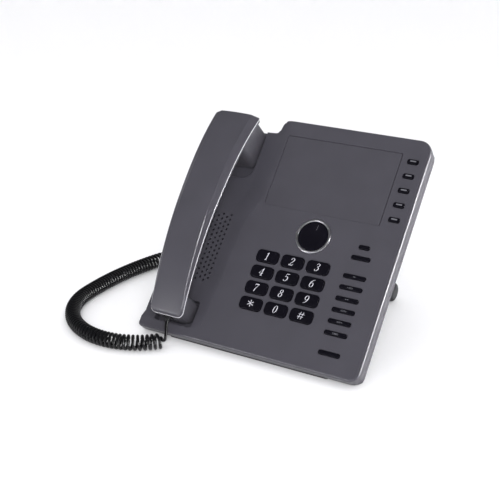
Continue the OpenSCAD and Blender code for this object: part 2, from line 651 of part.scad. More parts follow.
front_housing();
rear_housing();
display_window();
lcd_panel();
main_board();
keypad_mat();
loudspeaker();
base_microphone();
ethernet_jacks();
power_jack();
handset_port();
housing_screws();
front_foot();
stand_pins();
coil_cord();
base_plug();
nav_ring();
nav_encoder();
handset_shell();
handset_cover();
earpiece_speaker();
handset_microphone();
handset_weight();
handset_plug();
handset_screws();
hook_switch();
stand_frame();
stand_feet();
nav_push_sleeve();
nav_dial();
dial_key_at(0, 0);  // key_1
dial_key_at(1, 0);  // key_2
dial_key_at(2, 0);  // key_3
dial_key_at(0, 1);  // key_4
dial_key_at(1, 1);  // key_5
dial_key_at(2, 1);  // key_6
dial_key_at(0, 2);  // key_7
dial_key_at(1, 2);  // key_8
dial_key_at(2, 2);  // key_9
dial_key_at(0, 3);  // key_star
dial_key_at(1, 3);  // key_0
dial_key_at(2, 3);  // key_hash
line_key_at(0);  // line_key_1
line_key_at(1);  // line_key_2
line_key_at(2);  // line_key_3
line_key_at(3);  // line_key_4
line_key_at(4);  // line_key_5
function_key_at(0);  // function_key_1
function_key_at(1);  // function_key_2
function_key_at(2);  // function_key_3
function_key_at(3);  // function_key_4
function_key_at(4);  // function_key_5
function_key_at(5);  // function_key_6
function_key_at(6);  // function_key_7
function_key_at(7);  // function_key_8
function_key_at(8);  // function_key_9
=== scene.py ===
"""Looks of a desk phone: slab on a folding stand, corded handset in a cradle, keys, dial and display.

Shapes are worked out in millimetres in the face frame (x across, v up the face, w out of it) and placed in
the row frame in metres. Order: helpers, looks, housing, keys, handset, cord, dial, other parts, and then the
stage with its light and camera.
"""
import json
import math
import random

import bmesh
import bpy
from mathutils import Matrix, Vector


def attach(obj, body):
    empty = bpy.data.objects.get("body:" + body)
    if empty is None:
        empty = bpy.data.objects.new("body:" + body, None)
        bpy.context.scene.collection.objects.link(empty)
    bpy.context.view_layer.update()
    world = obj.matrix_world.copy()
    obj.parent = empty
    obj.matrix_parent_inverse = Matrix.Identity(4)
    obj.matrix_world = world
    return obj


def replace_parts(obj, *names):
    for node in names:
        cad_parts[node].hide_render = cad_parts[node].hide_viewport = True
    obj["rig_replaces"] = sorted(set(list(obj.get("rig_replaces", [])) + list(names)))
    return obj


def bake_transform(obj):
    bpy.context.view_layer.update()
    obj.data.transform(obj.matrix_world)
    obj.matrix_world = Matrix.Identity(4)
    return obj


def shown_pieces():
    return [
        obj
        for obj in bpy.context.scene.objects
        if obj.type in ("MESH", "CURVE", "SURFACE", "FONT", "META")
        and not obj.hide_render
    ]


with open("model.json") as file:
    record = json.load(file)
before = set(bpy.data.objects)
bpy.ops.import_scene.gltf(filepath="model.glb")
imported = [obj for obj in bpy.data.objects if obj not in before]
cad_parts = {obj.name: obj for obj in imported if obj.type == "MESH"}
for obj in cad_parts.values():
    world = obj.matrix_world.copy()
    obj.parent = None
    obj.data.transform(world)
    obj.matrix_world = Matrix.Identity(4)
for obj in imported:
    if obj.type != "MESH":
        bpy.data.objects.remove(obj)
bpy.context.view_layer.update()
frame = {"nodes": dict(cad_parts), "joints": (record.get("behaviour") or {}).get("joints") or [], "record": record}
random.seed(7)

MM = 0.001
JOINTS = {j["name"]: j for j in frame["joints"]}
ACROSS = Vector((1, 0, 0))
OUT = Vector(JOINTS["handset_lift"]["axis"]).normalized()
UP = OUT.cross(ACROSS)
# Centre of the navigation dial on the face
NAV = (28.6, 119.1)
ORIGIN = Vector(JOINTS["nav_turn"]["pos_m"]) - (ACROSS * NAV[0] + UP * NAV[1]) * MM
# Material slot that the record gives each CAD node
SLOT = {part["node"]: part["material_slot"] for part in frame["record"]["subparts"]}

# ---- helpers ----


def on_face(p):
    """Row-frame point in metres of a face-frame point in millimetres."""
    return ORIGIN + (ACROSS * p[0] + UP * p[1] + OUT * p[2]) * MM


def in_row(p):
    """Row-frame point in metres of a row-frame point in millimetres."""
    return Vector(p) * MM


def shape(name, points, faces, place=on_face):
    """Mesh object from millimetre points, with its faces turned outwards."""
    mesh = bpy.data.meshes.new(name)
    mesh.from_pydata([place(p) for p in points], [], faces)
    bm = bmesh.new()
    bm.from_mesh(mesh)
    bmesh.ops.recalc_face_normals(bm, faces=bm.faces)
    bm.to_mesh(mesh)
    bm.free()
    obj = bpy.data.objects.new(name, mesh)
    bpy.context.scene.collection.objects.link(obj)
    return obj


def skin(rings, first=0, closed=True):
    """Faces through rings that follow each other in one point list, with a lid on each end."""
    n = len(rings[0])
    faces = []
    for i in range(len(rings) - 1):
        for j in range(n):
            a, b = first + i * n + j, first + i * n + (j + 1) % n
            faces.append((a, b, b + n, a + n))
    if closed:
        faces.append(tuple(first + j for j in range(n)))
        faces.append(tuple(first + (len(rings) - 1) * n + j for j in range(n)))
    return faces


def round_skin(rings):
    """Faces through rings of which the last is joined to the first, like a tyre."""
    n, last = len(rings[0]), (len(rings) - 1) * len(rings[0])
    return skin(rings, closed=False) + [(last + j, last + (j + 1) % n, (j + 1) % n, j) for j in range(n)]


def loft(name, rings, place=on_face):
    """Closed solid through rings of one length."""
    return shape(name, [p for ring in rings for p in ring], skin(rings), place)


def lofts(name, stacks, place=on_face):
    """One mesh holding several closed solids, each a stack of rings."""
    points, faces = [], []
    for rings in stacks:
        faces += skin(rings, len(points))
        points += [p for ring in rings for p in ring]
    return shape(name, points, faces, place)


def rounded(corners, steps=8):
    """Outline points of corners (x, y, radius)."""
    out = []
    n = len(corners)
    for i, (x, y, r) in enumerate(corners):
        p = Vector((x, y))
        a = (Vector(corners[i - 1][:2]) - p).normalized()
        b = (Vector(corners[(i + 1) % n][:2]) - p).normalized()
        half = a.angle(b) / 2
        c = p + (a + b).normalized() * (r / math.sin(half))
        s = p + a * (r / math.tan(half)) - c
        e = p + b * (r / math.tan(half)) - c
        a0 = math.atan2(s.y, s.x)
        sweep = (math.atan2(e.y, e.x) - a0 + 3 * math.pi) % (2 * math.pi) - math.pi
        for k in range(steps + 1):
            t = a0 + sweep * k / steps
            out.append((c.x + r * math.cos(t), c.y + r * math.sin(t)))
    return out


def box_outline(box, grow, r, steps=8):
    """Rounded box (x0, v0, x1, v1) grown on every side."""
    x0, v0, x1, v1 = box[0] - grow, box[1] - grow, box[2] + grow, box[3] + grow
    return rounded([(x0, v0, r), (x1, v0, r), (x1, v1, r), (x0, v1, r)], steps)


def at_level(outline, w):
    """Outline as a ring of points at one height."""
    return [(x, v, w) for x, v in outline]


def box_stack(box, r, levels, steps=8):
    """Rings of a rounded box at levels (w, grow)."""
    return [at_level(box_outline(box, g, max(r + g, 0.15), steps), w) for w, g in levels]


def centred(x, v, width, height):
    """Box (x0, v0, x1, v1) about its centre."""
    return (x - width / 2, v - height / 2, x + width / 2, v + height / 2)


def disc(x, v, r, n=32):
    return [(x + r * math.cos(2 * math.pi * k / n), v + r * math.sin(2 * math.pi * k / n)) for k in range(n)]


def bore(x, v, r, low, high, n=32):
    """Rings of a straight round bore or post between two levels."""
    return [at_level(disc(x, v, r, n), w) for w in (low, high)]


def corner_cut(near, r):
    """How far a rounded corner has drawn a side in, at a distance from the end."""
    return r - math.sqrt(max(r * r - (r - near) ** 2, 0)) if near < r else 0.0


def ease(t):
    """Smooth step from 0 to 1."""
    t = min(max(t, 0.0), 1.0)
    return t * t * (3 - 2 * t)


def cut(obj, cutter, how="DIFFERENCE"):
    """Applies a boolean and removes the cutter."""
    mod = obj.modifiers.new("cut", "BOOLEAN")
    mod.operation, mod.solver, mod.object = how, "EXACT", cutter
    graph = bpy.context.evaluated_depsgraph_get()
    mesh = bpy.data.meshes.new_from_object(obj.evaluated_get(graph))
    obj.modifiers.clear()
    old, obj.data = obj.data, mesh
    mesh.name = obj.name
    bpy.data.meshes.remove(old)
    bpy.data.objects.remove(cutter)
    return obj


def soften(obj, angle=32, weighted=True):
    """Smooth shading with hard edges where faces meet at more than the angle."""
    bm = bmesh.new()
    bm.from_mesh(obj.data)
    bmesh.ops.remove_doubles(bm, verts=bm.verts, dist=1e-6)
    for f in bm.faces:
        f.smooth = True
    for e in bm.edges:
        e.smooth = len(e.link_faces) == 2 and e.calc_face_angle(0) < math.radians(angle)
    bm.to_mesh(obj.data)
    bm.free()
    if weighted:
        mod = obj.modifiers.new("normals", "WEIGHTED_NORMAL")
        mod.keep_sharp, mod.weight = True, 80
    return obj


def look_out(obj, index=0):
    """Turns the faces of one material out of the face, for marks that are open sheets: print, and the line keys'
    painted highlight.
    """
    for poly in obj.data.polygons:
        if poly.material_index == index and poly.normal.dot(OUT) < 0:
            poly.flip()


def piece(obj, body, finishes, *nodes, slot=None):
    """Gives a mesh its looks, lets it ride on a body and stand for CAD nodes."""
    for finish in finishes:
        obj.data.materials.append(finish)
    if body:
        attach(obj, body)
    if nodes:
        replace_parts(obj, *nodes)
        slot = slot or SLOT[nodes[0]]
    return obj


# ---- looks ----

# Size of the patches of colour and of wear in millimetres, swing of the roughness, grain height in metres
PATCH_MM, WEAR_MM, WEAR, GRAIN_DEPTH = 28, 9, 0.06, 0.00006


def look(name, colour, rough, metal=0.0, grain=0.0, grain_mm=0.35, spread=0.06, coat=0.0, spec=0.5):
    """Procedural finish: base colour and roughness vary slowly, and a fine grain stands off the surface."""
    mat = bpy.data.materials.new(name)
    mat.use_nodes = True
    tree = mat.node_tree
    node, link = tree.nodes.new, tree.links.new
    bsdf = tree.nodes["Principled BSDF"]
    bsdf.inputs["Metallic"].default_value = metal
    bsdf.inputs["Coat Weight"].default_value = coat
    bsdf.inputs["Coat Roughness"].default_value = 0.12
    bsdf.inputs["Specular IOR Level"].default_value = spec
    place = node("ShaderNodeTexCoord").outputs["Object"]

    def noise(size_mm, detail):
        tex = node("ShaderNodeTexNoise")
        tex.inputs["Scale"].default_value = 1000.0 / size_mm
        tex.inputs["Detail"].default_value = detail
        link(place, tex.inputs["Vector"])
        return tex.outputs["Fac"]

    def spread_to(value, low, high):
        reach = node("ShaderNodeMapRange")
        reach.inputs["From Min"].default_value, reach.inputs["From Max"].default_value = 0.3, 0.7
        reach.inputs["To Min"].default_value, reach.inputs["To Max"].default_value = low, high
        link(value, reach.inputs["Value"])
        return reach.outputs["Result"]

    mix = node("ShaderNodeMix")
    mix.data_type = "RGBA"
    mix.inputs["A"].default_value = [c * (1 - spread) for c in colour] + [1]
    mix.inputs["B"].default_value = [min(c * (1 + spread), 1) for c in colour] + [1]
    link(spread_to(noise(PATCH_MM, 3), 0, 1), mix.inputs["Factor"])
    link(mix.outputs["Result"], bsdf.inputs["Base Color"])
    link(spread_to(noise(WEAR_MM, 4), rough - WEAR, rough + WEAR), bsdf.inputs["Roughness"])
    if grain:
        bump = node("ShaderNodeBump")
        bump.inputs["Strength"].default_value = grain
        bump.inputs["Distance"].default_value = GRAIN_DEPTH
        link(noise(grain_mm, 2), bump.inputs["Height"])
        link(bump.outputs["Normal"], bsdf.inputs["Normal"])
    return mat


# Each finish: base colour, roughness and what else differs from a plain plastic
FINISHES = {
    "slate_plastic": ((0.0505, 0.0485, 0.0600), 0.36, dict(grain=0.3, spread=0.05)),
    "back_plastic": ((0.052, 0.050, 0.060), 0.52, dict(grain=0.45, spread=0.06)),
    "window_plastic": ((0.0500, 0.0480, 0.0592), 0.35, dict(grain=0.05, spread=0.05)),
    "lcd_glass": ((0.012, 0.013, 0.016), 0.12, dict(coat=0.5)),
    "circuit_board": ((0.010, 0.075, 0.030), 0.40, dict(grain=0.5, grain_mm=1.4, spread=0.25)),
    "keypad_rubber": ((0.36, 0.36, 0.38), 0.72, dict(grain=0.3)),
    "speaker_steel": ((0.16, 0.16, 0.17), 0.42, dict(metal=1.0, grain=0.2)),
    "black_plastic": ((0.012, 0.012, 0.014), 0.42, dict(grain=0.2)),
    "socket_metal": ((0.42, 0.42, 0.44), 0.30, dict(metal=1.0, grain=0.15, spread=0.1)),
    "screw_steel": ((0.38, 0.38, 0.40), 0.34, dict(metal=1.0, grain=0.2, spread=0.1)),
    "foot_rubber": ((0.030, 0.030, 0.033), 0.70, dict(grain=0.6, grain_mm=0.5, spec=0.12)),
    "cord_rubber": ((0.004, 0.004, 0.005), 0.34, dict(grain=0.15, spread=0.15, spec=0.35)),
    "clear_plug": ((0.55, 0.55, 0.54), 0.20, dict(grain=0.05, spread=0.04)),
    "ring_chrome": ((0.72, 0.72, 0.76), 0.36, dict(metal=1.0, grain=0.1, spread=0.05)),
    "key_black": ((0.003, 0.0026, 0.0055), 0.48, dict(grain=0.12, spread=0.12, spec=0.15)),
    # Light grey of the strip round the handset's parting edge: a painted highlight on that edge
    "painted_edge_highlight": ((0.66, 0.65, 0.69), 0.30, dict(grain=0.1, spread=0.05)),
}
LOOKS = {name: look(name, colour, rough, **rest) for name, (colour, rough, rest) in FINISHES.items()}
PRINT = look("print_white", (0.60, 0.60, 0.66), 0.55, grain=0.15, spread=0.05)
# Grey of the function keys' icons and the dial's index, which are print, and of the line keys' bar, which is
# painted highlight
GREY_PRINT_AND_HIGHLIGHT = look("grey_print_and_key_highlight", (0.11, 0.11, 0.125), 0.50, grain=0.15, spread=0.08)

# ---- housing ----

# Front housing: seam to the back, plate thickness, valley depth, ramp length, edge radius and wall
SEAM_W, PLATE_T, VALLEY, RAMP, EDGE_R, WALL_T = 11.0, 2.5, 3.4, 24.0, 2.2, 2.4
# Half width, top of the display side, top of the handset side, the handset's centre line
HALF_X, BODY_V, NOTCH_V, HX = 110, 229.5, 215.5, -76.3
# Pockets (x0, v0, x1, v1) that take the handset's ends, and their depth
EAR_POCKET, MOUTH_POCKET = (HX - 22.1, 163.6, HX + 22.1, 219.5), (HX - 19.5, 9.5, HX + 19.5, 35.5)
POCKET = 8.6
DISPLAY, WINDOW_W, WINDOW_T = (-29.3, 140.7, 85.2, 213.6), -0.5, 1.4
# Points (x, v) of the crease where the face falls into the valley, and the valley's lower end
CREASE = [(-47, 9), (-45.5, 22), (-42, 118), (-40, 126), (-29.6, 149), (-29.6, 240)]
VALLEY_END = 9.0
SCREWS = [(-102.6, 22), (-102.6, 148), (102.6, 22), (102.6, 218)]
BOSS_R, PILOT_R = 3.6, 1.5
HOOK_V, HOOK_HOLE_R, NAV_HOLE_R = 182, 3.2, 16.6
# Speaker grille: columns, rows, their spacing, middle of the field and hole radius
GRILLE_COLS, GRILLE_ROWS, GRILLE_DX, GRILLE_DV, GRILLE_V, GRILLE_R = 9, 14, 4.4, 5, 92, 1.15


def ear_pocket(levels):
    """Rings of the ear pocket, wide corners towards the handle and tight ones at its upper end."""
    out = []
    for w, g in levels:
        x0, v0, x1, v1 = EAR_POCKET[0] - g, EAR_POCKET[1] - g, EAR_POCKET[2] + g, EAR_POCKET[3] + g
        corners = [(x0, v0, 10 + g), (x1, v0, 10 + g), (x1, v1, 3 + g), (x0, v1, 3 + g)]
        out.append(at_level(rounded(corners, 12), w))
    return out


def body_outline(d, steps=8):
    """Outline of the front housing drawn in by d: a slab with a step down on the handset's side."""
    right, left, step_x = HALF_X - d, -HALF_X + d, -38
    return rounded([
        (left, d, max(3.5 - d, 0.8)), (right, d, 9 - d), (right, BODY_V - d, 13 - d),
        (step_x + d, BODY_V - d, max(5 - d, 1)), (step_x - 4.5 + d, NOTCH_V - d, 2 + d),
        (left, NOTCH_V - d, 6 - d)], steps)


OUTLINE = body_outline(0)


def crease_at(v):
    """Where the crease runs at v, its bends rounded over a few millimetres."""
    total = 0.0
    for k in range(-4, 5):
        s = min(max(v + k * 1.6, CREASE[0][1]), CREASE[-1][1])
        for (x0, v0), (x1, v1) in zip(CREASE, CREASE[1:]):
            if v0 <= s <= v1:
                total += x0 + (x1 - x0) * (s - v0) / (v1 - v0)
                break
    return total / 9


def ramp(u, length, drop):
    """Fall at u along a ramp whose top and foot are rounded; it starts with a faint edge."""
    start, top, foot = 0.05, 0.16 * length, 0.2 * length
    slope = (drop - start * top / 2) / (length - top / 2 - foot / 2)
    if u <= 0:
        return 0.0
    if u < top:
        return start * u + (slope - start) * u * u / (2 * top)
    fall = (start + slope) * top / 2
    if u < length - foot:
        return fall + slope * (u - top)
    fall += slope * (length - foot - top)
    rest = min(u - (length - foot), foot)
    return fall + slope * (rest - rest * rest / (2 * foot))


def inside_by(x, v):
    """Distance inside the body's outline, negative outside."""
    best, inside = 1e9, False
    for (x0, v0), (x1, v1) in zip(OUTLINE, OUTLINE[1:] + OUTLINE[:1]):
        dx, dv = x1 - x0, v1 - v0
        t = min(max(((x - x0) * dx + (v - v0) * dv) / (dx * dx + dv * dv or 1), 0), 1)
        best = min(best, math.hypot(x - x0 - t * dx, v - v0 - t * dv))
        if (v0 > v) != (v1 > v) and x < x0 + (v - v0) * dx / dv:
            inside = not inside
    return best if inside else -best


def rolled(e):
    """How far a rounded edge has fallen at distance e from the wall."""
    e = min(max(e, 0.0), EDGE_R)
    return EDGE_R - math.sqrt(EDGE_R ** 2 - (EDGE_R - e) ** 2)


def spaced(stops):
    """Values through stops (start, step), the last stop giving the end."""
    out = []
    for (a, step), (b, _) in zip(stops, stops[1:]):
        n = max(round((b - a) / step), 1)
        out += [a + (b - a) * k / n for k in range(n)]
    return out + [stops[-1][0]]


def valley_cutter():
    """Everything over the valley: a floor of ramp, flat and rolled outer edge, closed above the face."""
    # Distances from the crease, dense where the ramp bends, and from the wall, dense where the edge rolls
    past, above, outside = 0.12, 4, 2
    across = [past, 0, -0.7, -1.4, -2.2, -3, -4, -6, -9, -12, -15, -18, -19.4, -20.8, -22.4, -RAMP]
    edge = [e - HALF_X for e in (2.4, 1.8, 1.2, 0.7, 0.3, 0.07, -0.1, -outside)]
    rings = []
    for v in spaced([(VALLEY_END - 0.05, 0.5), (VALLEY_END + 9, 3), (NOTCH_V - 7, 1), (NOTCH_V - 2.2, 0.4),
                     (NOTCH_V + 0.4, 1.5), (BODY_V - 2.4, 0.4), (BODY_V + 0.4, 1), (BODY_V + 4, 1)]):
        c = crease_at(v)
        xs = [c + u for u in across]
        middle = [xs[-1] + (edge[0] - xs[-1]) * k / 14 for k in range(1, 14)]
        floor = []
        for x in xs + middle + edge:
            depth = ramp(c - x, RAMP, VALLEY) * ramp(v - VALLEY_END, 8.0, 1.0)
            floor.append((x, v, -depth - rolled(inside_by(x, v)) - 0.015 + (past if x > c else 0)))
        rings.append([(c + past, v, above)] + floor + [(edge[-1], v, above)])
    return loft("valley", rings)


def housing_block():
    """Solid slab with a rounded front edge."""
    levels = [(-SEAM_W, 0.3), (-SEAM_W + 0.3, 0.0), (-8, 0.0), (-5, 0.0)]
    levels += [(-EDGE_R + EDGE_R * math.sin(math.radians(a)), EDGE_R * (1 - math.cos(math.radians(a))))
               for a in range(0, 91, 10)]
    return loft("front_shell", [at_level(body_outline(d), w) for w, d in levels])


def housing_hollow():
    """Room behind the plate, less the floors under the valley and the two pockets and less the bosses."""
    hollow = loft("hollow", [at_level(body_outline(WALL_T), w) for w in (-12, -PLATE_T)])
    low, high, left = 7, 236, -HALF_X - 1
    floor = [(crease_at(v) + 2, v) for v in range(low, high, 3)] + [(left, high), (left, low)]
    cut(hollow, loft("floor", [at_level(floor, w) for w in (-VALLEY - PLATE_T, 0)]))
    walls = [(-14, WALL_T), (0, WALL_T)]
    cut(hollow, lofts("pocket_walls", [ear_pocket(walls), box_stack(MOUTH_POCKET, 4, walls)]))
    cut(hollow, lofts("bosses", [bore(x, v, BOSS_R, -14, 0) for x, v in SCREWS]))
    return hollow


def housing_pockets():
    """The two pockets, with a rounded lip and a small fillet round their floor."""
    levels = [(-POCKET, -0.9), (-POCKET + 0.3, -0.25), (-7.6, 0), (-VALLEY - 0.7, 0), (-VALLEY - 0.3, 0.12),
              (-VALLEY, 0.45), (2, 0.45)]
    return lofts("pockets", [ear_pocket(levels), box_stack(MOUTH_POCKET, 3, levels)])


def housing_openings():
    """Holes for the display's light, the keys, the dial, the hook plunger and the screws."""
    openings = [box_stack(DISPLAY, 1.5, [(-9, -5), (-1.5, -5)])]
    key_levels = [(-9, 0.3), (-0.35, 0.3), (-0.1, 0.37), (0.02, 0.6), (2, 0.6)]
    openings += [box_stack(key["box"], key["r"], key_levels) for key in KEYS.values()]
    openings.append([at_level(disc(*NAV, NAV_HOLE_R + grow, 64), w) for w, grow in [
        (-9, 0), (-0.3, 0), (-0.08, 0.08), (0.02, 0.3), (2, 0.3)]])
    openings.append(bore(HX, HOOK_V, HOOK_HOLE_R, -12, -7))
    openings += [bore(x, v, PILOT_R, -12, -7.4, 16) for x, v in SCREWS]
    return lofts("openings", openings)


def grille_holes():
    """Staggered holes in the valley, each with a small chamfer at its mouth."""
    holes = []
    for i in range(GRILLE_COLS):
        for j in range(GRILLE_ROWS):
            x = HX + (i - (GRILLE_COLS - 1) / 2) * GRILLE_DX
            v = GRILLE_V + (j - (GRILLE_ROWS - 1) / 2 - (i % 2) / 2) * GRILLE_DV
            top = -ramp(crease_at(v) - x, RAMP, VALLEY)
            holes.append([at_level(disc(x, v, GRILLE_R + grow, 12), w) for w, grow in [
                (-8, 0), (top - 0.15, 0), (top + 0.03, 0.15), (top + 2, 0.15)]])
    return lofts("grille", holes)


def front_housing():
    """Front half of the case."""
    body = housing_block()
    cut(body, housing_hollow())
    cut(body, valley_cutter())
    cut(body, housing_pockets())
    cut(body, loft("display_recess", box_stack(DISPLAY, 1.5, [
        (WINDOW_W - WINDOW_T - 0.05, 0), (-0.22, 0), (-0.06, 0.06), (0.02, 0.24), (2, 0.24)])))
    cut(body, housing_openings())
    cut(body, grille_holes())
    return soften(body)


# ---- keys ----

# Dial keys: left column, lowest row, spacings and size
DIAL_X, DIAL_V, DIAL_DX, DIAL_DV, DIAL_SIZE = -7, 44.9, 25, 15.4, (21.8, 11.8)
# Line keys: column, highest row, spacing and size
LINE_X, LINE_V, LINE_DV, LINE_SIZE = 96.3, 206.6, 14.4, (10, 4.5)
# Function keys: column, height, and the place and width of each
FUNCTION_X, FUNCTION_H = 78.3, 3.8
FUNCTION_ROWS = [(118.3, 10), (107.9, 17.4), (89.9, 21), (79.3, 21), (68.6, 21), (58.0, 21), (47.4, 21),
                 (36.7, 21), (18.6, 19.7)]
KEYS = {}
for number, name in enumerate("1 2 3 4 5 6 7 8 9 star 0 hash".split()):
    col, row = number % 3, number // 3
    KEYS[f"key_{name}"] = {"box": centred(DIAL_X + col * DIAL_DX, DIAL_V + (3 - row) * DIAL_DV, *DIAL_SIZE),
                           "r": 3.7, "proud": 1.5, "kind": "dial", "sign": name}
for number in range(5):
    KEYS[f"line_key_{number + 1}"] = {"box": centred(LINE_X, LINE_V - number * LINE_DV, *LINE_SIZE),
                                      "r": 1.4, "proud": 1.0, "kind": "line"}
for number, (v, width) in enumerate(FUNCTION_ROWS):
    KEYS[f"function_key_{number + 1}"] = {"box": centred(FUNCTION_X, v, width, FUNCTION_H),
                                          "r": 1.6, "proud": 1.0, "kind": "function", "icon": number - 2}

# Strokes of each sign in a cell one high. A "line" or "curve" runs through points (x, y, width); a "ring" has
# its centre and half width, then its half height and its widest and narrowest stroke
SIGNS = {
    "1": [("line", (0.31, 0.03, 0.13), (0.31, 0.97, 0.13)),
          ("line", (0.12, 0.80, 0.03), (0.31, 0.96, 0.07)),
          ("line", (0.14, 0.02, 0.045), (0.48, 0.02, 0.045))],
    "2": [("curve", (0.12, 0.72, 0.13), (0.14, 0.87, 0.09), (0.28, 0.97, 0.05), (0.44, 0.90, 0.10),
           (0.49, 0.74, 0.14), (0.40, 0.52, 0.10), (0.22, 0.28, 0.06), (0.07, 0.07, 0.05)),
          ("line", (0.06, 0.05, 0.10), (0.50, 0.05, 0.12)),
          ("line", (0.49, 0.04, 0.06), (0.55, 0.24, 0.03))],
    "3": [("curve", (0.11, 0.78, 0.11), (0.16, 0.92, 0.07), (0.30, 0.97, 0.05), (0.44, 0.88, 0.11),
           (0.45, 0.73, 0.13), (0.37, 0.59, 0.07), (0.23, 0.54, 0.04)),
          ("curve", (0.23, 0.54, 0.04), (0.40, 0.49, 0.08), (0.49, 0.29, 0.15), (0.41, 0.10, 0.10),
           (0.26, 0.02, 0.05), (0.11, 0.07, 0.07), (0.07, 0.21, 0.11))],
    "4": [("line", (0.40, 0.97, 0.05), (0.05, 0.31, 0.04)),
          ("line", (0.03, 0.29, 0.055), (0.58, 0.29, 0.055)),
          ("line", (0.40, 0.97, 0.13), (0.40, 0.02, 0.13)),
          ("line", (0.25, 0.02, 0.04), (0.55, 0.02, 0.04))],
    "5": [("line", (0.16, 0.93, 0.10), (0.50, 0.95, 0.10)),
          ("line", (0.16, 0.93, 0.04), (0.12, 0.54, 0.04)),
          ("curve", (0.12, 0.54, 0.04), (0.28, 0.61, 0.06), (0.44, 0.52, 0.12), (0.48, 0.31, 0.15),
           (0.38, 0.10, 0.09), (0.22, 0.02, 0.05), (0.09, 0.07, 0.07), (0.06, 0.19, 0.11))],
    "6": [("curve", (0.50, 0.96, 0.04), (0.30, 0.87, 0.08), (0.12, 0.60, 0.13), (0.08, 0.33, 0.14),
           (0.15, 0.09, 0.09), (0.30, 0.02, 0.05), (0.46, 0.12, 0.11), (0.50, 0.32, 0.14),
           (0.42, 0.52, 0.08), (0.28, 0.57, 0.05), (0.13, 0.44, 0.04))],
    "7": [("line", (0.06, 0.92, 0.12), (0.53, 0.92, 0.12)),
          ("line", (0.07, 0.93, 0.05), (0.05, 0.74, 0.03)),
          ("curve", (0.53, 0.94, 0.05), (0.36, 0.58, 0.08), (0.25, 0.27, 0.12), (0.23, 0.0, 0.14))],
    "8": [("ring", (0.28, 0.75, 0.16), (0.20, 0.11, 0.05)),
          ("ring", (0.28, 0.28, 0.20), (0.25, 0.13, 0.05))],
    "0": [("ring", (0.28, 0.49, 0.20), (0.46, 0.14, 0.05))],
    "star": [("line", (0.30 - dx, 0.5 - dy, 0.11), (0.30, 0.5, 0.03), (0.30 + dx, 0.5 + dy, 0.11))
             for dx, dy in [(0.3 * math.cos(math.radians(a)), 0.3 * math.sin(math.radians(a)))
                            for a in (30, 90, 150)]],
    "hash": [("line", (0.09, 0.06, 0.08), (0.13, 0.94, 0.08)),
             ("line", (0.44, 0.06, 0.08), (0.48, 0.94, 0.08)),
             ("line", (-0.08, 0.34, 0.08), (0.63, 0.34, 0.08)),
             ("line", (-0.05, 0.67, 0.08), (0.66, 0.67, 0.08))],
}
# A nine is a six turned by half a turn
SIGNS["9"] = [("curve",) + tuple((0.57 - x, 0.98 - y, w) for x, y, w in SIGNS["6"][0][1:])]
# Small marks of the six long keys, in millimetres: boxes (x, v, width, height), drawn as outlines or bars
ICONS = [
    [("bar", 0, 0, 2.2, 0.6)],
    [("outline", 0.2, 0, 3.6, 1.2), ("bar", -2.6, 0, 0.7, 0.7)],
    [("bar", -0.9, 0, 1.2, 0.7), ("bar", 0.9, 0, 1.2, 0.7)],
    [("outline", 0, 0, 4.0, 1.3), ("bar", 2.8, 0, 0.6, 1.3)],
    [("outline", -0.6, 0, 3.2, 1.1), ("bar", 2.2, 0, 1.4, 0.5)],
    [("outline", 0, 0, 5.4, 1.3), ("bar", 0, 0, 2.6, 0.35)],
]
# Share of a sign's stroke width that is drawn, its least width, the signs' size and slant, the star's size,
# and how far the marks stand off a key, print and a line key's painted highlight alike
STROKE_SHARE, LEAST_STROKE, SIGN_SIZE, SLANT, STAR_SIZE, MARK_LIFT = 0.62, 0.035, 7.4, 0.2, 10.4, 0.025


def along_curve(points, per=6):
    """Points of a smooth curve through the given ones."""
    out = []
    ends = [points[0]] + list(points) + [points[-1]]
    for a, b, c, d in zip(ends, ends[1:], ends[2:], ends[3:]):
        for k in range(per):
            t = k / per
            out.append(tuple(0.5 * (2 * q + (r - p) * t + (2 * p - 5 * q + 4 * r - s) * t * t
                                    + (3 * q - p - 3 * r + s) * t ** 3) for p, q, r, s in zip(a, b, c, d)))
    return out + [points[-1]]


def even_line(points, per=7):
    """Points of straight runs between the given ones, close enough to follow a crowned key."""
    out = []
    for a, b in zip(points, points[1:]):
        out += [tuple(p + (q - p) * k / per for p, q in zip(a, b)) for k in range(per)]
    return out + [points[-1]]


def stroke_strip(kind, *points):
    """Left and right sides of a stroke of changing width."""
    if kind == "ring":
        (cx, cy, rx), (ry, thick, thin) = points
        turn = [2 * math.pi * k / 32 for k in range(33)]
        half = [STROKE_SHARE * (thin + (thick - thin) * abs(math.cos(a)) ** 1.5) / 2 for a in turn]
        return ([(cx + (rx + s * w) * math.cos(a), cy + (ry + s * w) * math.sin(a))
                 for a, w in zip(turn, half)] for s in (-1, 1))
    path = along_curve(points) if kind == "curve" else even_line(points)
    left, right = [], []
    for i, (x, y, w) in enumerate(path):
        x0, y0, _ = path[max(i - 1, 0)]
        x1, y1, _ = path[min(i + 1, len(path) - 1)]
        n = Vector((y0 - y1, x1 - x0)).normalized() * max(w * STROKE_SHARE, LEAST_STROKE) / 2
        left.append((x + n.x, y + n.y))
        right.append((x - n.x, y - n.y))
    return left, right


def cap_height(key, x, v):
    """Height of a key's lightly crowned top."""
    x0, v0, x1, v1 = key["box"]
    a = (x - (x0 + x1) / 2) / ((x1 - x0) / 2)
    b = (v - (v0 + v1) / 2) / ((v1 - v0) / 2)
    fall = 0.22 if key["kind"] == "dial" else 0.12
    return key["proud"] - fall * (0.5 * a * a + b * b)


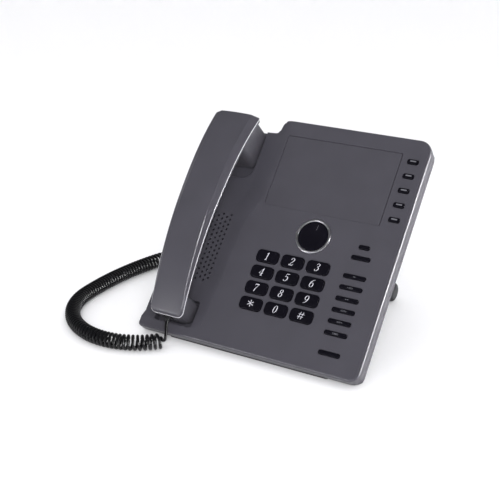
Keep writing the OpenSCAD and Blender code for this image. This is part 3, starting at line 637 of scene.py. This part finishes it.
def cap_rings(key):
    """Rings of a key: a flange behind the plate, straight sides, a soft upper edge and a crowned top."""
    box, r, proud = key["box"], key["r"], key["proud"]
    soft = 0.7 if key["kind"] == "dial" else 0.45
    rings = box_stack(box, r, [(-3.9, 0.9), (-2.8, 0.9), (-2.75, 0), (proud - soft - 0.2, 0)], 7)
    for a in range(18, 91, 12):
        inset = soft * (1 - math.cos(math.radians(a)))
        rings.append([(x, v, cap_height(key, x, v) - soft * (1 - math.sin(math.radians(a))))
                      for x, v in box_outline(box, -inset, max(r - inset, 0.3), 7)])
    cx, cv = (box[0] + box[2]) / 2, (box[1] + box[3]) / 2
    edge = rings[-1]
    for share in (0.85, 0.65, 0.42, 0.2):
        places = [(cx + (x - cx) * share, cv + (v - cv) * share) for x, v, _ in edge]
        rings.append([(x, v, cap_height(key, x, v)) for x, v in places])
    return rings


def sign_marks(sign, cx, cv):
    """Flat pieces that draw a dial key's sign about the key's centre."""
    size, lean = (STAR_SIZE, 0.0) if sign == "star" else (SIGN_SIZE, SLANT)
    marks = []
    for stroke in SIGNS[sign]:
        left, right = ([(cx + (x - 0.29 + (y - 0.5) * lean) * size, cv + (y - 0.49) * size)
                        for x, y in side] for side in stroke_strip(*stroke))
        marks += zip(left, left[1:], right[1:], right)
    return marks


def icon_marks(icon, cx, cv):
    """Flat pieces that draw a function key's small bars and outlines."""
    marks = []
    for style, x, v, width, height in icon:
        box = centred(cx + x, cv + v, width, height)
        outer = box_outline(box, 0, height * 0.35, 3)
        if style == "bar":
            marks.append(outer)
        else:
            inner = box_outline(box, -0.28, height * 0.2, 3)
            marks += zip(outer, outer[1:] + outer[:1], inner[1:] + inner[:1], inner)
    return marks


def key_marks(key):
    """Flat pieces on a key: printed signs and icons, and on a line key a grey bar that is painted highlight on its
    crowned top.
    """
    box = key["box"]
    cx, cv = (box[0] + box[2]) / 2, (box[1] + box[3]) / 2
    if key["kind"] == "dial":
        return sign_marks(key["sign"], cx, cv)
    if key["kind"] == "line":
        # A grey bar a little above the middle of a line key: painted highlight on its crowned top
        return [box_outline(centred(cx + 0.3, cv + 0.45, 5.6, 1.3), 0, 0.5, 3)]
    return icon_marks(ICONS[key["icon"]], cx, cv) if 0 <= key["icon"] < len(ICONS) else []


def key_cap(name, key):
    """Key with its marks as faces of a second material just off its top: print, and on a line key a painted
    highlight.
    """
    rings = cap_rings(key)
    points, faces = [p for ring in rings for p in ring], skin(rings)
    body_faces = len(faces)
    for mark in key_marks(key):
        faces.append(tuple(range(len(points), len(points) + len(mark))))
        points += [(x, v, cap_height(key, x, v) + MARK_LIFT) for x, v in mark]
    obj = shape(name, points, faces)
    for poly in obj.data.polygons[body_faces:]:
        poly.material_index = 1
    look_out(obj, 1)
    return soften(obj)


for name, key in KEYS.items():
    # White print on dial keys; grey on the rest, print on function keys and painted highlight on line keys
    mark_look = PRINT if key["kind"] == "dial" else GREY_PRINT_AND_HIGHLIGHT
    piece(key_cap(f"{name}_cap", key), name, [LOOKS["key_black"], mark_look], name)

piece(front_housing(), "base", [LOOKS["slate_plastic"]], "front_housing")

# The window leaves a wider gap at its right than at its other sides
glass = (DISPLAY[0], DISPLAY[1] - 0.05, DISPLAY[2] - 0.45, DISPLAY[3])
window = loft("display_glass", box_stack(glass, 1.5, [
    (WINDOW_W - WINDOW_T, -0.15), (WINDOW_W - 0.25, -0.15), (WINDOW_W - 0.07, -0.22), (WINDOW_W, -0.4)]))
piece(soften(window), "base", [LOOKS["window_plastic"]], "display_window")

# ---- handset ----

# Ends of the handset and the corner radii there, seen from above
V0, V1 = 12.5, 216.0
MOUTH_END_R, EAR_END_R = 5.5, 2.5
# Parting edge: its highest point, the place of that point, and its fall and power towards each end
CROWN_W, CROWN_V, EAR_DROP, EAR_POWER, MOUTH_DROP, MOUTH_POWER = 34.8, 122, 13, 2.45, 20.5, 2
# Half width at the mouth end and how much more the ear end has
NARROW_HALF, WIDENING = 17, 6.5
SHELL_T, BELLY_H = 2, 13
# Blocks under the ends: v0, v1, half width, lower and upper corner radius
EAR_BLOCK, MOUTH_BLOCK, BLOCK_BOTTOM = (176, 213.5, 21.2, 6, 4), (12.5, 34, 18, 4, 3), -8.2
EARPIECE_V, MICROPHONE_V, PORT_LEVELS = 196, 23, (-12, -4)
# Screw posts that join the shell to its cover
POSTS, POST_R = (73, 137), 3.2


def rim_w(v):
    """Height of the parting edge, highest near the middle."""
    if v > CROWN_V:
        return CROWN_W - EAR_DROP * ((v - CROWN_V) / (V1 - CROWN_V)) ** EAR_POWER
    return CROWN_W - MOUTH_DROP * ((CROWN_V - v) / (CROWN_V - V0)) ** MOUTH_POWER


def half_w(v, d=0.0):
    """Half the handset's width, drawn in by d, with rounded ends."""
    cut_in = corner_cut(v - V0 - d, MOUTH_END_R - d) + corner_cut(V1 - v - d, EAR_END_R - d)
    return NARROW_HALF + WIDENING * (v - V0) / (V1 - V0) - d - cut_in


def stations(d, n=64):
    """Places of the sections along the handset, dense round its ends."""
    a, b = V0 + d, V1 - d
    ra, rb = MOUTH_END_R - d, EAR_END_R - d
    shares = [1 - math.cos(math.radians(k)) for k in (6, 12, 18, 26, 35, 45, 56, 68, 80)]
    return [a + ra * e for e in shares] + [a + ra + (b - a - ra - rb) * k / n for k in range(n + 1)] \
        + [b - rb * e for e in reversed(shares)]


def end_share(v):
    """Share of the shell's full height, which falls off in a quarter round at each end."""
    mouth, ear = min((v - V0) / 2.4, 1), min((V1 - v) / 0.9, 1)
    share = 0.2 + 0.8 * math.sqrt(max(1 - (1 - mouth) ** 2, 0.0))
    return share * (0.72 + 0.28 * math.sqrt(max(1 - (1 - ear) ** 2, 0.0)))


def cap_ring(v, d):
    """Section above the parting edge: lip, bevel, crease that softens towards the ear end, crowned top."""
    h, rim, share = half_w(v, d), rim_w(v), end_share(v)
    # The bevel grows wider and its crease rounder up the handle
    bevel = 1.0 + 4.2 * min((v - V0) / 105, 1) ** 0.8 + 1.8 * ease((v - 115) / 60)
    crease_r = 1.0 + 3.6 * ease((v - 110) / 60)
    lip_r = 0.85 * share
    half = [(h, rim - (1 if d else 0))]
    half += [(h - lip_r * (1 - math.cos(math.radians(k))), rim + 0.25 + lip_r * math.sin(math.radians(k)))
             for k in (0, 20, 40, 60, 75)]
    corner_w = rim + 1.1 + (2.1 + 2.2 * ease((v - 60) / 110) - d) * share
    # A small step in the side that fades out above the middle
    step = 0.8 * (1 - ease((v - 92) / 32)) * share
    half += [(h - bevel + 0.55, corner_w - step - 0.12), (h - bevel + 0.35, corner_w - step)]
    start_x, start_w = half[-1]
    run = Vector((h - bevel - start_x, corner_w - start_w))
    reach = min(crease_r, max(run.length * 0.45, 0.2))
    crown = 0.9 * share

    def top_w(x):
        return corner_w + crown * (1 - (x / max(h - bevel, 1)) ** 2)

    corner = Vector((h - bevel, corner_w))
    start, end = corner - run.normalized() * reach, Vector((corner.x - reach, top_w(corner.x - reach)))
    for k in range(7):
        t = k / 6
        p = start * (1 - t) ** 2 + corner * 2 * t * (1 - t) + end * t * t
        half.append((p.x, p.y))
    half += [(end.x * (1 - k / 8), top_w(end.x * (1 - k / 8))) for k in range(1, 9)]
    return [(HX + x, v, w) for x, w in half] + [(HX - x, v, w) for x, w in reversed(half[:-1])]


def belly_ring(v, d):
    """Rounded underside of the handle below the parting edge."""
    h, rim, top = half_w(v, d) - 1, rim_w(v) - 0.1, (1 if d else 0)
    out = [(HX + h, v, rim + top)]
    for a in range(0, 181, 9):
        c, s = math.cos(math.radians(a)), math.sin(math.radians(a))
        w = rim - (BELLY_H - d) * max(s, 0) ** 0.7 - 0.02
        out.append((HX + h * math.copysign(abs(c) ** 1.1, c), v, w))
    return out + [(HX - h, v, rim + top)]


def block_rings(v0, v1, wide, low_r, high_r, d):
    """Block under one end: its walls follow the handset's sides, and its lower edge is rounded."""
    steps = [v0 + d + (v1 - v0 - 2 * d) * (1 - math.cos(math.pi * k / 28)) / 2 for k in range(29)]
    side = []
    for v in steps:
        cut_in = max(corner_cut(v - v0 - d, low_r - d), corner_cut(v1 - d - v, high_r - d))
        side.append((max(min(half_w(v, d + 1.05), wide - d) - cut_in, 1.0), v))
    outline = [(x, v) for x, v in side] + [(-x, v) for x, v in reversed(side)]
    mid = (v0 + v1) / 2
    # Near the rounded lower edge the outline is drawn in about evenly on every side
    rings = []
    soft = 1.6 - d * 0.5
    for a in range(0, 91, 15):
        inset = soft * (1 - math.sin(math.radians(a)))
        w = BLOCK_BOTTOM + d + soft * (1 - math.cos(math.radians(a)))
        rings.append([(HX + x * (1 - inset / 22), mid + (v - mid) * (1 - inset / 24), w) for x, v in outline])
    top = 0.6 if d == 0 else -1.0
    rings.append([(HX + x, v, rim_w(v) - 0.1 - top) for x, v in outline])
    return rings


def handset_top():
    """Hollow outer shell with its two screw posts."""
    shell = loft("handset_top", [cap_ring(v, 0) for v in stations(0)])
    cut(shell, loft("hollow", [cap_ring(v, SHELL_T) for v in stations(SHELL_T)]))
    cut(shell, lofts("posts", [bore(HX, v, POST_R, rim_w(v) - 8, rim_w(v) + 3.2) for v in POSTS]), "UNION")
    return soften(shell, 50)


def edge_highlight_strip():
    """Light grey strip that runs round the parting edge, standing just off the shell's side: a painted highlight
    along the edge.
    """
    side = [(half_w(v), v) for v in [V0 + 0.02] + stations(0) + [V1 - 0.02]]
    loop = [(x, v) for x, v in side] + [(-x, v) for x, v in reversed(side)]
    n = len(loop)
    rings = []
    for out, lift in ((-0.4, 0.0), (0.16, 0.06), (0.24, 0.3), (0.16, 0.54), (-0.4, 0.66)):
        ring = []
        for i, (x, v) in enumerate(loop):
            x0, v0 = loop[i - 1]
            x1, v1 = loop[(i + 1) % n]
            away = Vector((v1 - v0, x0 - x1)).normalized() * out
            ring.append((HX + x + away.x, v + away.y, rim_w(min(max(v, V0), V1)) + lift))
        rings.append(ring)
    return soften(shape("handset_edge_highlight", [p for ring in rings for p in ring], round_skin(rings)), 60)


def under_solid(name, d):
    """Handle and end blocks below the parting edge as one solid, drawn in by d."""
    solid = loft(name, [belly_ring(v, d) for v in stations(d)])
    for block in (EAR_BLOCK, MOUTH_BLOCK):
        cut(solid, loft("block", block_rings(*block, d)), "UNION")
    return solid


def cover_openings():
    """Ports of the earpiece and the microphone, socket of the plug, and screw holes with their recesses."""
    grid = (-8, -4, 0, 4, 8)
    ports = [bore(HX + x, EARPIECE_V + v, 1.0, *PORT_LEVELS, 12) for x in grid for v in grid]
    ports += [bore(HX + x, MICROPHONE_V, 0.8, *PORT_LEVELS, 12) for x in (-4, 0, 4)]
    ports.append(box_stack((HX - 4.3, 8, HX + 4.3, 15), 0.4, [(5.0, 0), (12.2, 0)], 2))
    ports += [bore(HX, v, 2.9, 10, rim_w(v) - 11.8) for v in POSTS]
    ports += [bore(HX, v, 1.5, 20, 31, 16) for v in POSTS]
    return lofts("ports", ports)


def handset_under():
    """Hollow inner cover with its ports and screw holes."""
    cover = under_solid("handset_under", 0)
    cut(cover, under_solid("inner", SHELL_T))
    cut(cover, cover_openings())
    return soften(cover, 40)


piece(handset_top(), "handset", [LOOKS["slate_plastic"]], "handset_shell")
# Strip round the parting edge in light grey: painted highlight
piece(edge_highlight_strip(), "handset", [LOOKS["painted_edge_highlight"]], slot=SLOT["handset_shell"])
piece(handset_under(), "handset", [LOOKS["back_plastic"]], "handset_cover")

# ---- cord ----

# Tilt of the face, and where its frame starts, in millimetres
TILT = math.atan2(UP.z, UP.y)
COS, SIN = math.cos(TILT), math.sin(TILT)
FACE_Y, FACE_Z = ORIGIN.y / MM, ORIGIN.z / MM
# Wire radius, radius of the coil's centre line, height of the coil's middle over the desk
TURN_R, COIL_MEAN, DESK_Z = 1.4, 6.0, 7.5
# Loop in front of the handset: centre, radius and the direction at which the coil starts
LOOP_C, LOOP_R, LOOP_FROM = (-124.2, 21.9), 68.1, 319
# Side run: turn and radius; then where the wire meets the port's line and where the coil ends
SIDE_TURN, SIDE_R, PORT_X, COIL_END = 20.9, 280, -86, 95
# Plug on the handset; depth of the port behind the face and bend of the wire up to it
PLUG_W, PLUG_V, PORT_W, PORT_BEND = 8.6, 8, 36, 25
# How strongly the lead follows the plug's direction and then the coil's
LEAD_PULL = (14, 7)
COIL_START = math.radians(60)
# Pitch of the coil in its middle and at its ends
TIGHT, LOOSE = 3.4, 4.5
# Points a turn of the coil has, and how many of its turns go into the lead from the handset
PER_TURN, STRETCHED = 22, 15


def arc(c, r, a0, a1, step=1.5):
    """Points of an arc that lies flat at the coil's height, angles in degrees."""
    n = max(round(abs(a1 - a0) * math.radians(1) * r / step), 1)
    return [Vector((c[0] + r * math.cos(math.radians(a0 + (a1 - a0) * k / n)),
                    c[1] + r * math.sin(math.radians(a0 + (a1 - a0) * k / n)), DESK_Z)) for k in range(n + 1)]


def rising_bend(x, y, r, angles):
    """Points of a bend that turns up from the desk."""
    return [Vector((x, y - r * math.sin(a), DESK_Z + r * (1 - math.cos(a)))) for a in angles]


def smooth_run(p, a, q, b, t):
    """Point at t of a smooth curve from p, running along a, to q, running along b."""
    return p * (2 * t ** 3 - 3 * t * t + 1) + a * (t ** 3 - 2 * t * t + t) + q * (3 * t * t - 2 * t ** 3) \
        + b * (t ** 3 - t * t)


def cord_paths():
    """Centre lines: lead from the handset's plug to the coil, coil, and wire to the port on the back."""
    side_c = (LOOP_C[0] - LOOP_R + SIDE_R, LOOP_C[1])
    turn = math.radians(180 - SIDE_TURN)
    side_end = (side_c[0] + SIDE_R * math.cos(turn), side_c[1] + SIDE_R * math.sin(turn))
    back_r = (PORT_X - side_end[0]) / (1 + math.cos(math.radians(SIDE_TURN)))
    back_c = (PORT_X - back_r, side_end[1] - back_r * math.sin(math.radians(SIDE_TURN)))
    plug = Vector((HX, FACE_Y + PLUG_V * COS - PLUG_W * SIN, FACE_Z + PLUG_V * SIN + PLUG_W * COS))
    turn = math.radians(LOOP_FROM)
    first = Vector((LOOP_C[0] + LOOP_R * math.cos(turn), LOOP_C[1] + LOOP_R * math.sin(turn), DESK_Z))
    down, inward = Vector((0, -COS, -SIN)), Vector((math.sin(turn), -math.cos(turn), 0))
    lead = [plug - down * 2.0]
    lead += [smooth_run(plug, down * LEAD_PULL[0], first, inward * LEAD_PULL[1], k / 16) for k in range(17)]
    coil = arc(LOOP_C, LOOP_R, LOOP_FROM - 1, 180) + arc(side_c, SIDE_R, 179.7, 180 - SIDE_TURN)
    coil += arc(back_c, back_r, 179 - SIDE_TURN, COIL_END)
    port_v = (back_c[1] - FACE_Y - PORT_W * SIN - PORT_BEND * COS
              - (FACE_Z - PORT_W * COS - DESK_Z - PORT_BEND * (1 - SIN)) * math.tan(TILT)) * COS
    tail = arc(back_c, back_r, COIL_END - 1.5, 0)
    rise = math.pi / 2 - TILT
    tail += rising_bend(PORT_X, back_c[1], PORT_BEND, [rise * k / 8 for k in range(1, 9)])
    tail.append(Vector((PORT_X, FACE_Y + port_v * COS + PORT_W * SIN, FACE_Z + port_v * SIN - PORT_W * COS)))
    return lead, coil, tail


def even(path, step):
    """Path resampled at an even step."""
    out, left = [path[0]], step
    for a, b in zip(path, path[1:]):
        length = (b - a).length
        at = left
        while at < length:
            out.append(a.lerp(b, at / length))
            at += step
        left = at - length
    return out + [path[-1]]


def sections(path):
    """Each point of a path with two directions square to the path."""
    for i, p in enumerate(path):
        run = (path[min(i + 1, len(path) - 1)] - path[max(i - 1, 0)]).normalized()
        side = Vector((0, 0, 1)).cross(run).normalized()
        yield p, side, run.cross(side)


def tube(name, path, r=TURN_R, n=9):
    """Round wire along a path."""
    rings = [[p + (side * math.cos(2 * math.pi * k / n) + up * math.sin(2 * math.pi * k / n)) * r
              for k in range(n)] for p, side, up in sections(path)]
    return soften(loft(name, rings, in_row), 60, False)


def helix(path):
    """Coiled centre line about a path: turns lie close in the middle and open towards both ends."""
    step = TIGHT / PER_TURN / 4
    path = even(path, step)
    turns, next_at, out = 0.0, 0.0, []
    for i, (p, side, up) in enumerate(sections(path)):
        share = i / (len(path) - 1)
        pitch = TIGHT + (LOOSE - TIGHT) * max(1 - ease(share / 0.3), ease((share - 0.66) / 0.3))
        turns += step / pitch
        if turns < next_at and i < len(path) - 1:
            continue
        next_at += 1 / PER_TURN
        grow = ease(min(i, len(path) - 1 - i) * step / (pitch * 0.45))
        angle = 2 * math.pi * turns + COIL_START
        out.append(p + (side * math.cos(angle) + up * math.sin(angle)) * COIL_MEAN * grow)
    return out


lead_path, coil_path, tail_path = cord_paths()
spring = helix(coil_path)
split = PER_TURN * STRETCHED
cord = tube("coiled_cord", spring[split:] + even(tail_path, 2.0))
piece(cord, "base", [LOOKS["cord_rubber"]], "coil_cord")
lead = tube("cord_lead", even(lead_path[::-1], 1.2)[::-1] + spring[:split + 1])
piece(lead, None, [LOOKS["cord_rubber"]], slot=SLOT["coil_cord"])
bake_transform(lead)

# ---- dial ----

# Radius of the dish, height of its rim and its depth
DISH_R, DISH_RIM, DISH_DEPTH = 13.2, 0.62, 1.42
# Index mark: direction, inner and outer end, half width
INDEX_TURN, INDEX_FROM, INDEX_TO, INDEX_HALF = math.radians(82), 6.6, 11.6, 0.16


def lathe(name, profile, n=96):
    """Solid of revolution about the dial's axis from (radius, w) points, solid or open in its middle."""
    rings = [[(NAV[0] + r * math.cos(2 * math.pi * k / n), NAV[1] + r * math.sin(2 * math.pi * k / n), w)
              for k in range(n)] for r, w in profile]
    faces = skin(rings) if profile[0][0] < 0.1 else round_skin(rings)
    return soften(shape(name, [p for ring in rings for p in ring], faces))


def dish_w(r):
    """Height of the dial's dish at a radius."""
    return DISH_RIM - DISH_DEPTH * math.sin(math.pi / 2 * (1 - min(r / DISH_R, 1)))


def dial_ring():
    """Ring with a flange behind the plate and a rounded rim."""
    inner, flange, outer, rim_base = 14.4, 18.4, 16.5, 0.55
    mid, half = (inner + outer) / 2, (outer - inner) / 2
    rim = [(mid + half * math.cos(math.radians(a)), rim_base + 0.65 * math.sin(math.radians(a)))
           for a in range(15, 180, 15)]
    return lathe("dial_ring", [(inner, -4), (flange, -4), (flange, -2.6), (outer, -2.6), (outer, rim_base),
                               *rim, (inner, 0.4)])


def dial_wheel():
    """Dished wheel on a short stem."""
    dish = [(DISH_R * (1 - k / 12), dish_w(DISH_R * (1 - k / 12))) for k in range(1, 12)]
    return lathe("dial_wheel", [(0.05, -6.4), (3, -6.4), (3, -3.4), (14.2, -3.4), (14.2, 0.2), (14.05, 0.5),
                                (13.7, 0.66), (DISH_R, DISH_RIM), *dish, (0.05, DISH_RIM - DISH_DEPTH)])


def dial_index(steps=5):
    """Thin mark printed on the dish."""
    c, s = math.cos(INDEX_TURN), math.sin(INDEX_TURN)
    points = []
    for k in range(steps + 1):
        r = INDEX_FROM + (INDEX_TO - INDEX_FROM) * k / steps
        for side in (-INDEX_HALF, INDEX_HALF):
            points.append((NAV[0] + r * c - side * s, NAV[1] + r * s + side * c, dish_w(r) + 0.03))
    index = shape("dial_index", points, [(2 * k, 2 * k + 1, 2 * k + 3, 2 * k + 2) for k in range(steps)])
    look_out(index)
    return index


piece(dial_ring(), "base", [LOOKS["ring_chrome"]], "nav_ring")
piece(dial_wheel(), "nav_wheel", [LOOKS["key_black"]], "nav_dial")
piece(dial_index(), "nav_wheel", [GREY_PRINT_AND_HIGHLIGHT], slot=SLOT["nav_dial"])

# ---- other parts keep their CAD shape, with softened edges ----

SOFT_EDGE = 0.0003
replaced = {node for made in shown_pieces() for node in made.get("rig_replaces", [])}
for name, obj in frame["nodes"].items():
    if name in replaced:
        continue
    obj.data.materials.clear()
    obj.data.materials.append(LOOKS[SLOT[name]])
    weld = obj.modifiers.new("weld", "WELD")
    weld.merge_threshold = 1e-6
    bevel = obj.modifiers.new("edges", "BEVEL")
    bevel.width, bevel.segments, bevel.limit_method = SOFT_EDGE, 2, "ANGLE"
    bevel.angle_limit, bevel.harden_normals = math.radians(35), True

# ---- stage, light and camera ----

# Panels seen in reflections: direction, angles of full and no brightness in degrees, brightness
PANELS = [((0.94, 0.3, 0.05), 8, 20, 90.0), ((-0.44, -0.87, 0.0), 5, 14, 20.0),
          ((0.2, 0.9, 0.35), 10, 40, 1.0)]
ROOM, SURROUND, SURROUND_COLOUR = 0.1, 1.1, (0.985, 0.985, 1.0, 1)
FLOOR_HALF, FLOOR_COLOUR = 4, (0.86, 0.86, 0.87, 1)
# Camera: place in metres, pitch below the horizon and turn in degrees, lens and sensor in millimetres
CAMERA_AT, PITCH, TURN, LENS, SENSOR = (0.37383, -0.6809, 0.44654), 23.85, 28.58, 72, 36


def stage_floor():
    """Plain pale paper under the phone."""
    e = FLOOR_HALF
    mesh = bpy.data.meshes.new("floor")
    mesh.from_pydata([(-e, -e, 0), (e, -e, 0), (e, e, 0), (-e, e, 0)], [], [(0, 1, 2, 3)])
    obj = bpy.data.objects.new("floor", mesh)
    bpy.context.scene.collection.objects.link(obj)
    paper = bpy.data.materials.new("floor_paper")
    paper.use_nodes = True
    bsdf = paper.node_tree.nodes["Principled BSDF"]
    bsdf.inputs["Base Color"].default_value = FLOOR_COLOUR
    bsdf.inputs["Roughness"].default_value = 0.9
    mesh.materials.append(paper)


def softbox(name, place, target, size, power):
    """Soft rectangular lamp that isn't itself seen in reflections."""
    light = bpy.data.lights.new(name, "AREA")
    light.shape, light.size, light.size_y = "RECTANGLE", size[0], size[1]
    light.energy = power
    obj = bpy.data.objects.new(name, light)
    bpy.context.scene.collection.objects.link(obj)
    obj.location = place
    obj.rotation_euler = (Vector(target) - Vector(place)).to_track_quat("-Z", "Y").to_euler()
    obj.visible_glossy = False


def panel_light(tree, direction, total, towards, inner, outer, strength):
    """Adds one panel's soft-edged light to a running total."""
    node, link = tree.nodes.new, tree.links.new
    dot = node("ShaderNodeVectorMath")
    dot.operation = "DOT_PRODUCT"
    dot.inputs[1].default_value = Vector(towards).normalized()
    link(direction, dot.inputs[0])
    fade = node("ShaderNodeMapRange")
    fade.interpolation_type = "SMOOTHSTEP"
    fade.inputs["From Min"].default_value = math.cos(math.radians(outer))
    fade.inputs["From Max"].default_value = math.cos(math.radians(inner))
    fade.inputs["To Max"].default_value = strength
    link(dot.outputs["Value"], fade.inputs["Value"])
    add = node("ShaderNodeMath")
    add.operation = "ADD"
    link(fade.outputs["Result"], add.inputs[0])
    link(total, add.inputs[1])
    return add.outputs["Value"]


def studio():
    """White surround for the floor and soft shading; in reflections it is a dim room with bright panels."""
    world = bpy.data.worlds.new("studio")
    world.use_nodes = True
    tree = world.node_tree
    node, link = tree.nodes.new, tree.links.new
    surround = tree.nodes["Background"]
    surround.inputs["Color"].default_value = SURROUND_COLOUR
    surround.inputs["Strength"].default_value = SURROUND
    direction = node("ShaderNodeTexCoord").outputs["Generated"]
    room = node("ShaderNodeValue")
    room.outputs["Value"].default_value = ROOM
    total = room.outputs["Value"]
    for panel in PANELS:
        total = panel_light(tree, direction, total, *panel)
    seen = node("ShaderNodeBackground")
    link(total, seen.inputs["Strength"])
    mix = node("ShaderNodeMixShader")
    link(node("ShaderNodeLightPath").outputs["Is Glossy Ray"], mix.inputs["Fac"])
    link(surround.outputs["Background"], mix.inputs[1])
    link(seen.outputs["Background"], mix.inputs[2])
    link(mix.outputs["Shader"], tree.nodes["World Output"].inputs["Surface"])
    bpy.context.scene.world = world


def take_view():
    """Camera for the main picture."""
    camera = bpy.data.objects.new("camera", bpy.data.cameras.new("camera"))
    bpy.context.scene.collection.objects.link(camera)
    camera.data.lens, camera.data.sensor_width, camera.data.clip_end = LENS, SENSOR, 20
    camera.location = CAMERA_AT
    camera.rotation_euler = (math.radians(90 - PITCH), 0, math.radians(TURN))
    return camera


stage_floor()
studio()
softbox("key_front", place=(0.85, -1.3, 1.0), target=(0, 0.05, 0.08), size=(0.8, 0.6), power=24)
bpy.context.scene.view_settings.view_transform = "Standard"
bpy.context.scene.view_settings.look = "None"
bpy.context.scene.camera = take_view()
